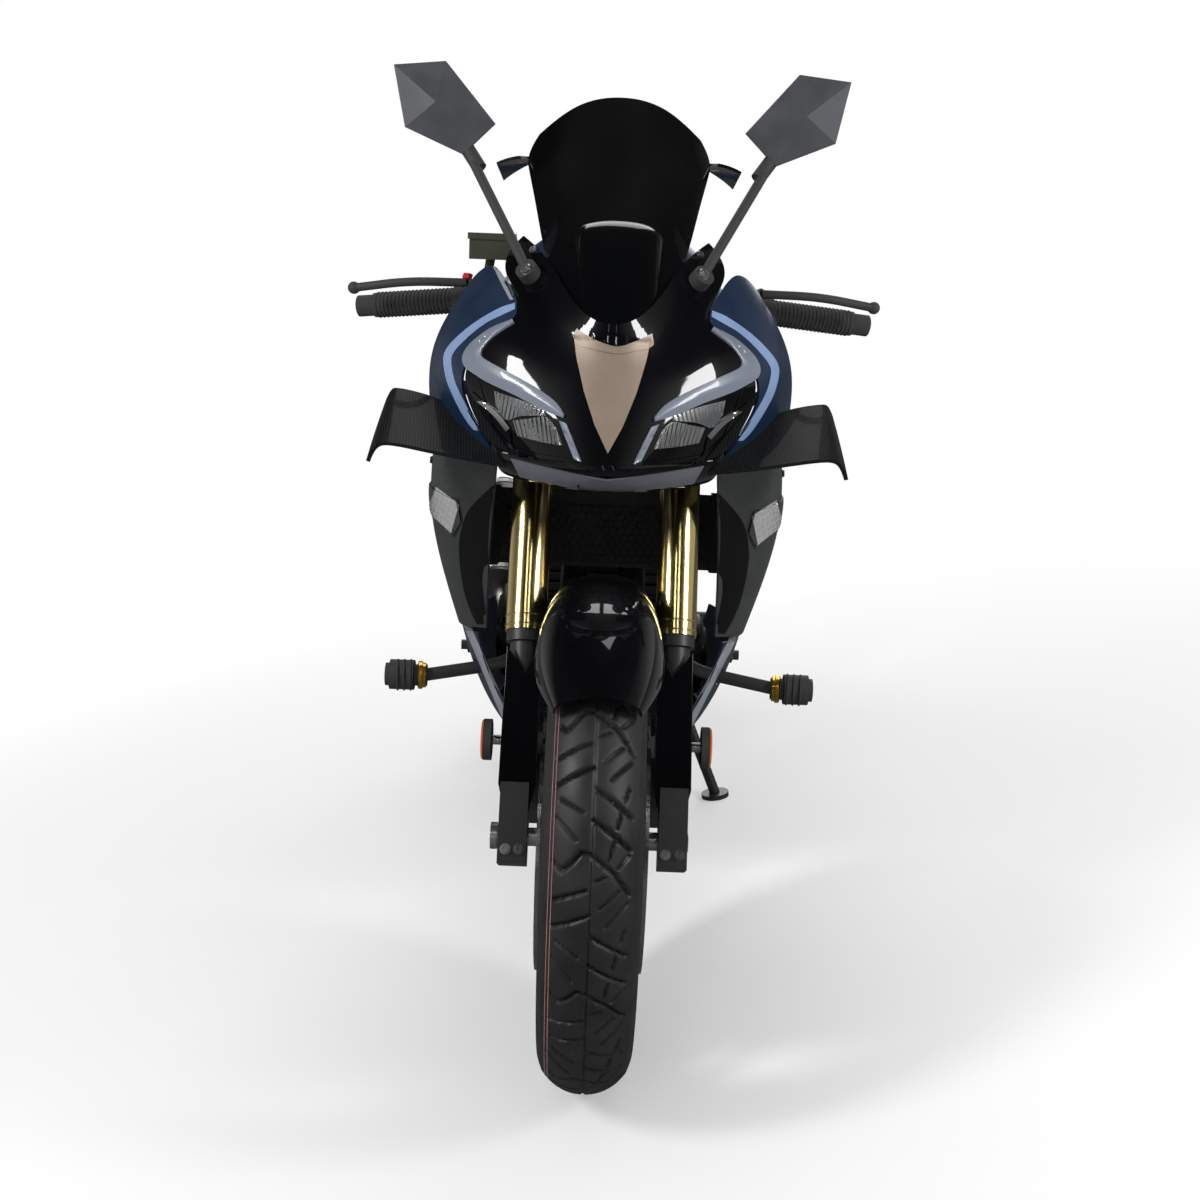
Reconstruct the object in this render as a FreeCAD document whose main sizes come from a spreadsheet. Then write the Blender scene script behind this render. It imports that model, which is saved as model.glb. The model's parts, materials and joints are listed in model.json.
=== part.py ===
import FreeCAD, Part

import math
import os

import Sketcher
from FreeCAD import Placement, Rotation, Vector

# Sport bike, modelled upright and then leaned onto its side stand.
# Bike frame: origin on the ground under the front axle, +X to the rider's left,
# +Y towards the tail, +Z up. All lengths are millimetres, all angles degrees.

SIZES = [
    ("wheelbase", 1380, "front axle to rear axle"),
    ("rake_angle", 25, "fork line from the vertical"),
    ("lean_angle", 10, "lean onto the side stand, to the rider's left"),
    ("steering_offset", 34, "steering axis behind the fork line"),
    ("running_gap", 0.3, "gap between a piece and the one it seats on"),
    ("front_tyre_radius", 293, "110/70-17"),
    ("front_tyre_half", 54, "half the section width"),
    ("front_crown_radius", 58, "radius of the tread arc"),
    ("rear_tyre_radius", 314, "140/70-17"),
    ("rear_tyre_half", 70, "half the section width"),
    ("rear_crown_radius", 74, "radius of the tread arc"),
    ("rim_radius", 215.9, "17 inch bead seat"),
    ("rim_wall", 7, "metal under the bead seat"),
    ("front_rim_half", 38, "half of a 3.00 rim"),
    ("rear_rim_half", 50, "half of a 4.00 rim"),
    ("spoke_half", 9, "half the spoke thickness"),
    ("hub_radius", 34, ""),
    ("front_hub_half", 46, ""),
    ("rear_hub_half", 52, ""),
    ("axle_radius", 11, "hollow wheel axles"),
    ("axle_bore", 8, "through bore of each axle"),
    ("axle_clearance", 0.05, "radial, hub bore round its axle"),
    ("front_disc_radius", 155, ""),
    ("front_disc_inner", 96, ""),
    ("front_disc_plane", 60, "disc from the wheel's middle"),
    ("disc_thickness", 4.5, ""),
    ("rear_disc_radius", 110, ""),
    ("rear_disc_plane", 84, "on the right side"),
    ("fork_half_spacing", 92, ""),
    ("fork_tube_radius", 25.5, "gold outer tubes"),
    ("fork_tube_start", 250, "lower end above the axle, along the fork"),
    ("fork_tube_end", 704, "upper end above the axle, along the fork"),
    ("fork_leg_radius", 18.5, "inner legs"),
    ("lower_clamp_start", 486, "along the fork"),
    ("upper_clamp_start", 640, "along the fork"),
    ("clamp_thickness", 26, ""),
    ("stem_radius", 15, ""),
    ("stem_bore", 9, "hollow stem, open at both ends"),
    ("head_tube_radius", 29, ""),
    ("head_tube_bore", 21, ""),
    ("handlebar_half", 322, "to the grip ends"),
    ("handlebar_radius", 11, ""),
    ("grip_radius", 16, ""),
    ("grip_length", 118, ""),
    ("spar_radius", 17, "main frame tubes"),
    ("brace_radius", 11, "subframe and stay tubes"),
    ("pivot_y", 870, "swingarm pivot"),
    ("pivot_height", 405, "swingarm pivot"),
    ("pivot_plate_inner", 96, "inner face of the frame's pivot plates"),
    ("pivot_plate_wall", 14, ""),
    ("swingarm_inner", 98, "inner face of the arms"),
    ("swingarm_width", 24, ""),
    ("chain_plane", 84, "on the left side"),
    ("chain_pitch", 15.875, ""),
    ("rear_sprocket_teeth", 43, ""),
    ("front_sprocket_teeth", 15, ""),
    ("sprocket_thickness", 6, ""),
    ("panel_wall", 3.5, "fairing mouldings"),
    ("panel_gap", 0.5, "seam between two panels"),
    ("stand_pivot_x", 126, "side stand pivot"),
    ("stand_pivot_y", 925, "side stand pivot"),
    ("stand_pivot_height", 272, "side stand pivot"),
    ("stand_foot_x", 214, "middle of the foot"),
    ("stand_foot_y", 905, "middle of the foot"),
    ("stand_foot_radius", 24, ""),
    ("stand_foot_thickness", 8, ""),
    ("stand_leg_radius", 9, ""),
    ("stand_pin_radius", 6, "bolt the side stand turns on"),
    ("pivot_shaft_radius", 12, "swingarm pivot shaft"),
    ("shock_pin_radius", 7, "lower shock bolt"),
    ("paddock_thread_radius", 4, "M8 bobbin threads under the swingarm"),
    ("plate_hole_radius", 3, ""),
    ("plate_hole_spacing", 60, ""),
]

DOC = FreeCAD.newDocument("sport_bike")
SHEET = DOC.addObject("Spreadsheet::Sheet", "sizes")
for row, (alias, value, meaning) in enumerate(SIZES, start=1):
    SHEET.set(f"A{row}", alias)
    SHEET.set(f"B{row}", str(value))
    SHEET.set(f"C{row}", meaning)
    SHEET.setAlias(f"B{row}", alias)
DOC.recompute()


def formula(number):
    """The sheet formula of a number."""
    return number.text if isinstance(number, Size) else repr(float(number))


class Size(float):
    """A number that also knows the sheet formula it comes from."""

    def __new__(cls, value, text):
        size = super().__new__(cls, value)
        size.text = text
        return size

    def __add__(self, other):
        return Size(float(self) + float(other), f"({self.text} + {formula(other)})")

    def __radd__(self, other):
        return Size(float(other) + float(self), f"({formula(other)} + {self.text})")

    def __sub__(self, other):
        return Size(float(self) - float(other), f"({self.text} - {formula(other)})")

    def __rsub__(self, other):
        return Size(float(other) - float(self), f"({formula(other)} - {self.text})")

    def __mul__(self, other):
        return Size(float(self) * float(other), f"({self.text} * {formula(other)})")

    __rmul__ = __mul__

    def __truediv__(self, other):
        return Size(float(self) / float(other), f"({self.text} / {formula(other)})")

    def __neg__(self):
        return Size(-float(self), f"(-{self.text})")


def size(alias):
    """The named size from the sheet."""
    return Size(float(getattr(SHEET, alias)), f"sizes.{alias}")


def cosine(angle):
    """Cosine of an angle in degrees, as a size."""
    return Size(math.cos(math.radians(angle)), f"cos({formula(angle)})")


LEFT = 1
RIGHT = -1
SIDES = (LEFT, RIGHT)
AXIS_X = Rotation(Vector(0, 0, 1), Vector(1, 0, 0))
AXIS_Y = Rotation(Vector(0, 0, 1), Vector(0, 1, 0))
RAKE = size("rake_angle")
LEAN = size("lean_angle")
GAP = size("running_gap")
WALL = size("panel_wall")
SEAM = size("panel_gap")
FLANGE = 12
CALIPER_HALF = 22
REFLECTOR_HEIGHT = 115
GEARBOX_BACK = 805
STAND_EYE_HALF = 7
SHOCK_TOP = (0, 826, 700)
SHOCK_LOW = (0, 962, 442)
PLATE_MIDDLE = (0, 1668, 690)
SIGNAL_BAR_HALF = 84
CHAIN_HALF = 6.5
CHAIN_PLATE = 2.4
CHAIN_GAP = 4.2
CHAIN_PINS = 6
SLIDER_BEND = Vector(138, 404, 398)
SLIDER_TIP = Vector(246, 362, 388)
MUFFLER_START = Vector(-186, 1064, 354)
MUFFLER_END = Vector(-204, 1390, 470)
FRONT_AXLE_HEIGHT = size("front_tyre_radius")
CROWN_DIFFERENCE = size("rear_crown_radius") - size("front_crown_radius")
REAR_AXLE_HEIGHT = size("rear_tyre_radius") + CROWN_DIFFERENCE * (1 - float(cosine(LEAN)))
REAR_AXLE_Y = size("wheelbase")
GROUND_DROP = size("front_crown_radius") * (1 - float(cosine(LEAN)))

UPRIGHT = Placement()
FORK_FRAME = Placement(Vector(0, 0, FRONT_AXLE_HEIGHT), Rotation(Vector(1, 0, 0), -float(RAKE)))
FRONT_WHEEL_FRAME = Placement(Vector(0, 0, FRONT_AXLE_HEIGHT), Rotation())
REAR_WHEEL_FRAME = Placement(Vector(0, REAR_AXLE_Y, REAR_AXLE_HEIGHT), Rotation())

# Angle from the top, half width and side drop of each station of the front mudguard.
MUDGUARD_STATIONS = [(-42, 44, 34), (-30, 66, 60), (-10, 74, 92), (10, 66, 96), (26, 61, 92), (42, 61, 84),
                     (58, 60, 60), (72, 50, 40)]

NODES = {}


def node(label, item, frame=UPRIGHT):
    """Name a finished sub-part and note the frame it was built in."""
    item.Label = label
    NODES[label] = (item, frame)
    return item


def bind(item, prop, value):
    """Set a property, by formula where the value comes from the sheet."""
    if isinstance(value, Size):
        item.setExpression(prop, value.text)
    else:
        setattr(item, prop, value)


def put(item, x, y, z, turn=Rotation()):
    """Place a primitive, by formula where a coordinate comes from the sheet."""
    item.Placement = Placement(Vector(x, y, z), turn)
    for letter, value in zip("xyz", (x, y, z)):
        if isinstance(value, Size):
            item.setExpression(f"Placement.Base.{letter}", value.text)


def cylinder(name, radius, height, at, turn=Rotation()):
    """A cylinder whose axis starts at a point."""
    item = DOC.addObject("Part::Cylinder", name)
    bind(item, "Radius", radius)
    bind(item, "Height", height)
    put(item, *at, turn)
    return item


def cross_cylinder(name, radius, half, at):
    """A cylinder along X, centred on a point."""
    x, y, z = at
    return cylinder(name, radius, 2 * half, (x - half, y, z), AXIS_X)


def box(name, lengths, middle, turn=Rotation()):
    """A box given by its middle."""
    item = DOC.addObject("Part::Box", name)
    for prop, value in zip(("Length", "Width", "Height"), lengths):
        bind(item, prop, value)
    if turn.isSame(Rotation(), 1e-9):
        put(item, *[spot - length / 2 for spot, length in zip(middle, lengths)])
    else:
        corner = turn.multVec(Vector(*lengths) / 2)
        item.Placement = Placement(Vector(*middle) - corner, turn)
    return item


def feature(name, shape):
    """A free-form piece."""
    item = DOC.addObject("Part::Feature", name)
    item.Shape = shape
    return item


def fuse(name, pieces):
    """Pieces joined into one."""
    item = DOC.addObject("Part::MultiFuse", name)
    item.Shapes = pieces
    return item


def fuse_in_turn(name, pieces):
    """Pieces joined one after another."""
    item = pieces[0]
    for number, piece in enumerate(pieces[1:], start=1):
        joined = DOC.addObject("Part::Fuse", f"{name}_{number}")
        joined.Base = item
        joined.Tool = piece
        item = joined
    return item


def cut(name, base, tool):
    """One piece with another taken away."""
    item = DOC.addObject("Part::Cut", name)
    item.Base = base
    item.Tool = tool
    return item


def group(name, pieces):
    """Separate pieces that share a node."""
    item = DOC.addObject("Part::Compound", name)
    item.Links = pieces
    return item


def mirror_copy(name, item):
    """The same piece on the rider's right."""
    copy = DOC.addObject("Part::Mirroring", name)
    copy.Source = item
    copy.Normal = Vector(1, 0, 0)
    return copy


def pair(name, item):
    """A left piece and its mirror image in one node."""
    return group(name, [item, mirror_copy(f"{name}_right", item)])


def rod(name, start, end, radius):
    """A round bar between two points."""
    start, end = Vector(*start), Vector(*end)
    along = end - start
    item = cylinder(name, radius, along.Length, tuple(start), Rotation(Vector(0, 0, 1), along))
    return item


def bent_path(points, bend):
    """Straight runs joined by tangent arcs."""
    spots = [Vector(*point) for point in points]
    edges = []
    start = spots[0]
    for before, corner, after in zip(spots, spots[1:], spots[2:]):
        back = (before - corner).normalize()
        ahead = (after - corner).normalize()
        half_turn = (math.pi - back.getAngle(ahead)) / 2
        room = 0.45 * min((before - corner).Length, (after - corner).Length)
        reach = min(bend * math.tan(half_turn), room)
        radius = reach / math.tan(half_turn)
        enter, leave = corner + back * reach, corner + ahead * reach
        inward = (back + ahead).normalize()
        middle = corner + inward * (radius / math.cos(half_turn) - radius)
        edges.append(Part.LineSegment(start, enter).toShape())
        edges.append(Part.Arc(enter, middle, leave).toShape())
        start = leave
    edges.append(Part.LineSegment(start, spots[-1]).toShape())
    return Part.Wire(edges)


def tube(name, points, radius, bend=60):
    """A round tube swept along bent runs."""
    spine = feature(f"{name}_path", bent_path(points, bend))
    ring = DOC.addObject("Part::Circle", f"{name}_ring")
    bind(ring, "Radius", radius)
    start, following = Vector(*points[0]), Vector(*points[1])
    ring.Placement = Placement(start, Rotation(Vector(0, 0, 1), following - start))
    item = DOC.addObject("Part::Sweep", name)
    item.Sections = [ring]
    item.Spine = (spine, [f"Edge{i + 1}" for i in range(len(spine.Shape.Edges))])
    item.Solid = True
    item.Transition = "Round corner"
    return item


def mirrored(shape):
    """The same shape on the rider's right."""
    return shape.mirror(Vector(0, 0, 0), Vector(1, 0, 0))


def grid(rows):
    """Rows of (x, y, z) points as vectors."""
    return [[Vector(*point) for point in row] for row in rows]


def both_halves(rows):
    """Rows from the middle out to +X, with their mirror image added."""
    full = []
    for row in rows:
        full.append([(-x, y, z) for x, y, z in reversed(row[1:])] + list(row))
    return full


def normals(points):
    """The normal at each point of a net."""
    last_row, last_column = len(points) - 1, len(points[0]) - 1
    found = []
    for i in range(last_row + 1):
        row = []
        for j in range(last_column + 1):
            down = points[min(i + 1, last_row)][j] - points[max(i - 1, 0)][j]
            across = points[i][min(j + 1, last_column)] - points[i][max(j - 1, 0)]
            row.append(across.cross(down).normalize())
        found.append(row)
    return found


def knots_for(count, degree):
    """Knots and multiplicities of a clamped uniform spline."""
    knots = list(range(count - degree + 1))
    return knots, [degree + 1] + [1] * (len(knots) - 2) + [degree + 1]


def smooth_surface(points):
    """A smooth surface drawn by a net of control points."""
    row_degree, column_degree = min(3, len(points) - 1), min(3, len(points[0]) - 1)
    row_knots, row_mults = knots_for(len(points), row_degree)
    column_knots, column_mults = knots_for(len(points[0]), column_degree)
    surface = Part.BSplineSurface()
    surface.buildFromPolesMultsKnots(points, row_mults, column_mults, row_knots, column_knots,
                                     False, False, row_degree, column_degree)
    return surface


def skin(rows, outer, inner):
    """A moulded panel between two depths under a net: rows run downwards, columns to +X or back."""
    points = grid(rows)
    normal = normals(points)
    surfaces = []
    for depth in (outer, inner):
        moved = [[p + n * float(depth) for p, n in zip(ps, ns)] for ps, ns in zip(points, normal)]
        surfaces.append(smooth_surface(moved))
    faces = [surface.toShape() for surface in surfaces]
    edges = []
    for surface in surfaces:
        u0, u1, v0, v1 = surface.bounds()
        edges.append([surface.uIso(u0), surface.uIso(u1), surface.vIso(v0), surface.vIso(v1)])
    for first, second in zip(*edges):
        faces.append(Part.makeRuledSurface(first.toShape(), second.toShape()))
    shell = Part.makeShell(faces)
    shell.sewShape()
    body = Part.makeSolid(shell)
    if body.Volume < 0:
        body.reverse()
    return body


def prism(outline, low, high, axis):
    """A closed outline across an axis, drawn out between two places on that axis."""
    if axis == "y":
        spots = [Vector(x, low, z) for x, z in outline]
        along = Vector(0, high - low, 0)
    else:
        spots = [Vector(low, y, z) for y, z in outline]
        along = Vector(high - low, 0, 0)
    face = Part.Face(Part.makePolygon(spots + [spots[0]]))
    return face.extrude(along)


def closed_section(y, half):
    """A closed smooth section across the bike, from its right half-outline, top to bottom."""
    right = [Vector(x, y, z) for x, z in half]
    left = [Vector(-x, y, z) for x, z in reversed(half) if x > 0]
    curve = Part.BSplineCurve()
    curve.interpolate(right + left, PeriodicFlag=True)
    return Part.Wire([curve.toShape()])


def hull(stations):
    """A solid lofted through sections along the bike."""
    return Part.makeLoft([closed_section(y, half) for y, half in stations], True, False)


def largest(shape):
    """The largest solid of a cut shape."""
    return max(shape.Solids, key=lambda piece: piece.Volume)


def origin_plane(body, role):
    """One of the body's own origin planes."""
    return next(item for item in body.Origin.OriginFeatures if item.Role == role)


def outline_sketch(body, name, plane, points):
    """A closed outline of straight lines whose corners are tied to the sheet."""
    sketch = body.newObject("Sketcher::SketchObject", name)
    sketch.AttachmentSupport = (origin_plane(body, plane), [""])
    sketch.MapMode = "FlatFace"
    count = len(points)
    spots = [Vector(x, y, 0) for x, y in points]
    lines = [Part.LineSegment(spots[i], spots[(i + 1) % count]) for i in range(count)]
    sketch.addGeometry(lines, False)
    for i in range(count):
        sketch.addConstraint(Sketcher.Constraint("Coincident", i, 2, (i + 1) % count, 1))
    for i, (x, y) in enumerate(points):
        for kind, value in (("DistanceX", x), ("DistanceY", y)):
            number = sketch.addConstraint(Sketcher.Constraint(kind, -1, 1, i, 1, float(value)))
            if isinstance(value, Size):
                sketch.setExpression(f"Constraints[{number}]", value.text)
    return sketch


def turned(body, name, points):
    """A ring turned about the body's X axis from (x, radius) corners."""
    sketch = outline_sketch(body, f"{name}_profile", "XY_Plane", points)
    ring = body.newObject("PartDesign::Revolution", name)
    ring.Profile = sketch
    ring.ReferenceAxis = (sketch, ["H_Axis"])
    ring.Angle = 360
    return ring


def new_body(name):
    """An empty PartDesign body."""
    return DOC.addObject("PartDesign::Body", name)


def tyre_profile(radius, half, crown, rim_half):
    """Half of a tyre's section, crown to bead, as (x, radius) corners."""
    shoulder = 0.86 * float(half)
    drop = crown * (1 - math.sqrt(1 - (shoulder / float(crown)) ** 2))
    middle = 0.5 * float(half)
    middle_drop = crown * (1 - math.sqrt(1 - (middle / float(crown)) ** 2))
    bead = size("rim_radius") + GAP
    return [
        (0, radius),
        (middle, radius - middle_drop),
        (shoulder, radius - drop),
        (half, radius - drop - 18),
        (rim_half - 3 - GAP, size("rim_radius") + FLANGE + GAP),
        (rim_half - 3 - GAP, bead),
    ]


def tyre(label, radius, half, crown, rim_half, frame):
    """A tyre as one closed ring on its bead seats."""
    body = new_body(label)
    right = tyre_profile(radius, half, crown, rim_half)
    left = [(-x, y) for x, y in reversed(right[1:])]
    turned(body, f"{label}_ring", right + left)
    node(label, body, frame)


def wheel(label, rim_half, hub_half, frame):
    """A cast wheel: rim, hub and five twin spokes in one piece."""
    body = new_body(label)
    seat = size("rim_radius")
    wall = size("rim_wall")
    turned(body, f"{label}_rim", [
        (-rim_half, seat - wall), (-rim_half, seat + FLANGE), (-rim_half + 3, seat + FLANGE),
        (-rim_half + 3, seat), (rim_half - 3, seat), (rim_half - 3, seat + FLANGE),
        (rim_half, seat + FLANGE), (rim_half, seat - wall), (rim_half / 2, seat - 2.6 * wall),
        (-rim_half / 2, seat - 2.6 * wall)])
    hub = size("hub_radius")
    spoke_root, spoke_tip = float(hub) - 4, float(seat) - 2 * float(wall)
    for lean in (-1, 1):
        sketch = outline_sketch(body, f"{label}_spoke_{lean + 1}", "YZ_Plane", [
            (lean * 4, spoke_root), (lean * 22, spoke_root), (lean * 46, spoke_tip), (lean * 30, spoke_tip)])
        spoke = body.newObject("PartDesign::Pad", f"{label}_spoke_pad_{lean + 1}")
        spoke.Profile = sketch
        spoke.SideType = "Symmetric"
        bind(spoke, "Length", 2 * size("spoke_half"))
        fan = body.newObject("PartDesign::PolarPattern", f"{label}_spoke_fan_{lean + 1}")
        fan.Originals = [spoke]
        fan.Axis = (body.Origin.OriginFeatures[0], [""])
        fan.Angle = 360
        fan.Occurrences = 5
        body.Tip = fan
    bore = size("axle_radius") + size("axle_clearance")
    turned(body, f"{label}_hub", [(-hub_half, bore), (-hub_half, hub), (hub_half, hub), (hub_half, bore)])
    node(label, body, frame)


def disc(name, plane, outer, inner, carrier_inner):
    """A brake disc with a slimmer carrier, set at a plane along X."""
    body = new_body(name)
    half = size("disc_thickness") / 2
    turned(body, f"{name}_ring", [
        (plane - half, inner), (plane - half, outer), (plane + half, outer), (plane + half, inner),
        (plane + half - 1, inner), (plane + half - 1, carrier_inner),
        (plane - half + 1, carrier_inner), (plane - half + 1, inner)])
    return body


def toothed_outline(teeth, pitch):
    """The outline of a chain sprocket about the X axis."""
    radius = pitch / (2 * math.sin(math.pi / teeth))
    spots = []
    for tooth in range(int(teeth)):
        for share, reach in ((0.12, 4.2), (0.32, 4.2), (0.5, -3.4), (0.94, -3.4)):
            angle = 2 * math.pi * (tooth + share) / teeth
            length = radius + reach
            spots.append(Vector(0, length * math.cos(angle), length * math.sin(angle)))
    return Part.makePolygon(spots + [spots[0]]), radius


def sprocket(name, teeth, bore, plane, frame_y, frame_z):
    """A sprocket cut from plate, centred on the chain's plane."""
    outline, _ = toothed_outline(float(teeth), float(size("chain_pitch")))
    wire = feature(f"{name}_outline", outline)
    plate = DOC.addObject("Part::Extrusion", f"{name}_plate")
    plate.Base = wire
    plate.Dir = Vector(1, 0, 0)
    plate.DirMode = "Custom"
    bind(plate, "LengthFwd", size("sprocket_thickness"))
    plate.Symmetric = True
    plate.Solid = True
    put(plate, plane, frame_y, frame_z)
    hole = cross_cylinder(f"{name}_hole", bore, 20, (plane, frame_y, frame_z))
    return cut(name, plate, hole)


def build_wheels():
    """Both wheels with their tyres, discs, sprocket and axles."""
    wheel("front_wheel", size("front_rim_half"), size("front_hub_half"), FRONT_WHEEL_FRAME)
    wheel("rear_wheel", size("rear_rim_half"), size("rear_hub_half"), REAR_WHEEL_FRAME)
    tyre("front_tyre", size("front_tyre_radius"), size("front_tyre_half"),
         size("front_crown_radius"), size("front_rim_half"), FRONT_WHEEL_FRAME)
    tyre("rear_tyre", size("rear_tyre_radius"), size("rear_tyre_half"),
         size("rear_crown_radius"), size("rear_rim_half"), REAR_WHEEL_FRAME)
    hub = size("hub_radius")
    discs = []
    for side in SIDES:
        plane = side * size("front_disc_plane")
        ring = disc(f"front_disc_{side + 1}", plane, size("front_disc_radius"),
                    size("front_disc_inner"), hub - 6)
        flange_half = (size("front_disc_plane") - size("front_hub_half") - size("disc_thickness") / 2) / 2 + 1
        middle = size("front_hub_half") + flange_half
        flange = cross_cylinder(f"front_disc_flange_{side + 1}", hub, flange_half, (side * middle, 0, 0))
        bore = cross_cylinder(f"front_disc_bore_{side + 1}", size("axle_radius") + 4, 20, (plane, 0, 0))
        discs.append(cut(f"front_disc_set_{side + 1}", fuse(f"front_disc_join_{side + 1}", [ring, flange]), bore))
    node("front_discs", group("front_discs", discs), FRONT_WHEEL_FRAME)
    plane = -size("rear_disc_plane")
    ring = disc("rear_disc_ring", plane, size("rear_disc_radius"), size("rear_disc_radius") - 38, hub - 6)
    half = (size("rear_disc_plane") - size("rear_hub_half")) / 2
    flange = cross_cylinder("rear_disc_flange", hub, half, (plane + half, 0, 0))
    bore = cross_cylinder("rear_disc_bore", size("axle_radius") + 4, 60, (plane, 0, 0))
    node("rear_disc", cut("rear_disc", fuse("rear_disc_join", [ring, flange]), bore), REAR_WHEEL_FRAME)
    gear = sprocket("rear_sprocket_plate", size("rear_sprocket_teeth"), hub - 6, size("chain_plane"), 0, 0)
    half = (size("chain_plane") - size("rear_hub_half")) / 2
    flange = cross_cylinder("rear_sprocket_flange", hub, half, (size("rear_hub_half") + half, 0, 0))
    bore = cross_cylinder("rear_sprocket_bore", size("axle_radius") + 4, 60, (size("chain_plane"), 0, 0))
    node("rear_sprocket", cut("rear_sprocket", fuse("rear_sprocket_join", [gear, flange]), bore), REAR_WHEEL_FRAME)


def build_fork():
    """Clamps, tubes, legs and what the fork carries, drawn along the fork line."""
    spacing = size("fork_half_spacing")
    tube_radius = size("fork_tube_radius")
    start, end = size("fork_tube_start"), size("fork_tube_end")
    tubes = []
    for side in SIDES:
        outer = cylinder(f"fork_tube_{side + 1}", tube_radius, end - start, (side * spacing, 0, start))
        cap = cylinder(f"fork_cap_{side + 1}", tube_radius - 7, 12, (side * spacing, 0, end))
        tubes.append(fuse(f"fork_tube_set_{side + 1}", [outer, cap]))
    node("fork_tubes", group("fork_tubes", tubes), FORK_FRAME)

    axle = size("axle_radius")
    legs = []
    for side in SIDES:
        x = side * spacing
        leg = cylinder(f"leg_{side + 1}", size("fork_leg_radius"), start - 40, (x, 0, 40))
        seal = cylinder(f"leg_seal_{side + 1}", tube_radius - 2, 14, (x, 0, start - 14))
        foot = box(f"leg_foot_{side + 1}", (34, 54, 96), (x + side * 3, 0, 14))
        lug = box(f"leg_lug_{side + 1}", (20, 44, 150), (x + side * 3, 34, 105))
        arm_low, arm_high = size("front_disc_plane") + CALIPER_HALF + GAP, spacing + 8
        arm = box(f"leg_arm_{side + 1}", (arm_high - arm_low, 84, 56), (side * (arm_low + arm_high) / 2, 72, 84))
        hole = cross_cylinder(f"leg_hole_{side + 1}", axle, 40, (x, 0, 0))
        legs.append(cut(f"leg_set_{side + 1}", fuse(f"leg_join_{side + 1}", [leg, seal, foot, lug, arm]), hole))
    node("fork_legs", group("fork_legs", legs), FORK_FRAME)

    shaft_half = spacing + 22
    shaft = cross_cylinder("axle_shaft", axle, shaft_half, (0, 0, 0))
    head = cross_cylinder("axle_head", 16, 4, (-shaft_half - 4, 0, 0))
    bore = cross_cylinder("axle_through", size("axle_bore"), shaft_half + 20, (0, 0, 0))
    node("front_axle", cut("front_axle", fuse("axle_join", [shaft, head]), bore), FORK_FRAME)

    offset = size("steering_offset")
    thickness = size("clamp_thickness")
    plates = []
    for level in ("lower_clamp_start", "upper_clamp_start"):
        low = size(level)
        solids = [cylinder(f"{level}_stem", 32, thickness, (0, offset, low))]
        for side in SIDES:
            solids.append(cylinder(f"{level}_eye_{side + 1}", tube_radius + 10, thickness, (side * spacing, 0, low)))
        solids.append(box(f"{level}_web", (2 * spacing, 34, thickness), (0, offset / 2 + 6, low + thickness / 2)))
        plate = fuse(f"{level}_plate", solids)
        holes = [cylinder(f"{level}_hole_{side + 1}", tube_radius + 0.05, thickness + 20, (side * spacing, 0, low - 10))
                 for side in SIDES]
        plates.append(cut(f"{level}_clamp", plate, fuse(f"{level}_holes", holes)))
    low, high = size("lower_clamp_start"), size("upper_clamp_start") + thickness
    stem = cylinder("stem_tube", size("stem_radius"), high - low + 8, (0, offset, low))
    nut = cylinder("stem_nut", 20, 12, (0, offset, high))
    stem_bore = cylinder("stem_bore", size("stem_bore"), high - low + 60, (0, offset, low - 20))
    node("triple_clamps", cut("triple_clamps", fuse("clamp_join", plates + [stem, nut]), stem_bore), FORK_FRAME)


def bar_point(x, side):
    """A point on the handlebar's centre line, x from the middle, in the fork's frame."""
    share = (x - 112) / (322 - 112)
    return (side * x, 2 + 56 * share, 690 + 2 * share)


def build_controls():
    """Clip-on bars with their levers, switches and fluid cups."""
    half = float(size("handlebar_half"))
    grip_start = half - float(size("grip_length"))
    radius = size("handlebar_radius")
    spacing = size("fork_half_spacing")
    for side, name in ((LEFT, "left"),):
        ring = cylinder(f"clip_{name}", size("fork_tube_radius") + 9, 26, (side * spacing, 0, 672))
        hole = cylinder(f"clip_hole_{name}", size("fork_tube_radius") + 0.05, 60, (side * spacing, 0, 660))
        bar = rod(f"bar_{name}", bar_point(118, side), bar_point(half, side), radius)
        grip = rod(f"grip_{name}", bar_point(grip_start, side), bar_point(half - 8, side), size("grip_radius"))
        weight = rod(f"bar_weight_{name}", bar_point(half - 8, side), bar_point(half + 14, side), radius + 3)
        ring_cut = cut(f"clip_cut_{name}", ring, hole)
        bars = fuse(f"bar_set_{name}", [ring_cut, bar, grip, weight])
        perch_in, perch_out = bar_point(grip_start - 46, side), bar_point(grip_start - 24, side)
        switch_in, switch_out = bar_point(grip_start - 22, side), bar_point(grip_start - 1, side)
        perch = rod(f"perch_{name}", perch_in, perch_out, 19)
        switch = rod(f"switch_{name}", switch_in, switch_out, 21)
        arm_start = (perch_in[0] + side * 10, perch_in[1] - 14, perch_in[2])
        arm_end = (perch_out[0] + side * 8, perch_out[1] - 48, perch_out[2] + 2)
        arm = rod(f"lever_arm_{name}", arm_start, arm_end, 8)
        tip = (side * (half + 12), bar_point(half, side)[1] - 62, 690)
        bow = ((arm_end[0] + tip[0]) / 2, (arm_end[1] + tip[1]) / 2 - 12, 692)
        lever = tube(f"lever_{name}", [arm_end, bow, tip], 5.5, 300)
        ball = DOC.addObject("Part::Sphere", f"lever_ball_{name}")
        ball.Radius = 8
        put(ball, *tip)
        bar_hole = rod(f"perch_hole_{name}", bar_point(112, side), bar_point(half, side), radius + 0.05)
        solid = fuse(f"control_join_{name}", [perch, switch, arm, lever, ball])
        controls = cut(f"control_{name}", solid, bar_hole)
    node("handlebars", pair("handlebars", bars), FORK_FRAME)
    node("hand_controls", pair("hand_controls", controls), FORK_FRAME)


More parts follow.
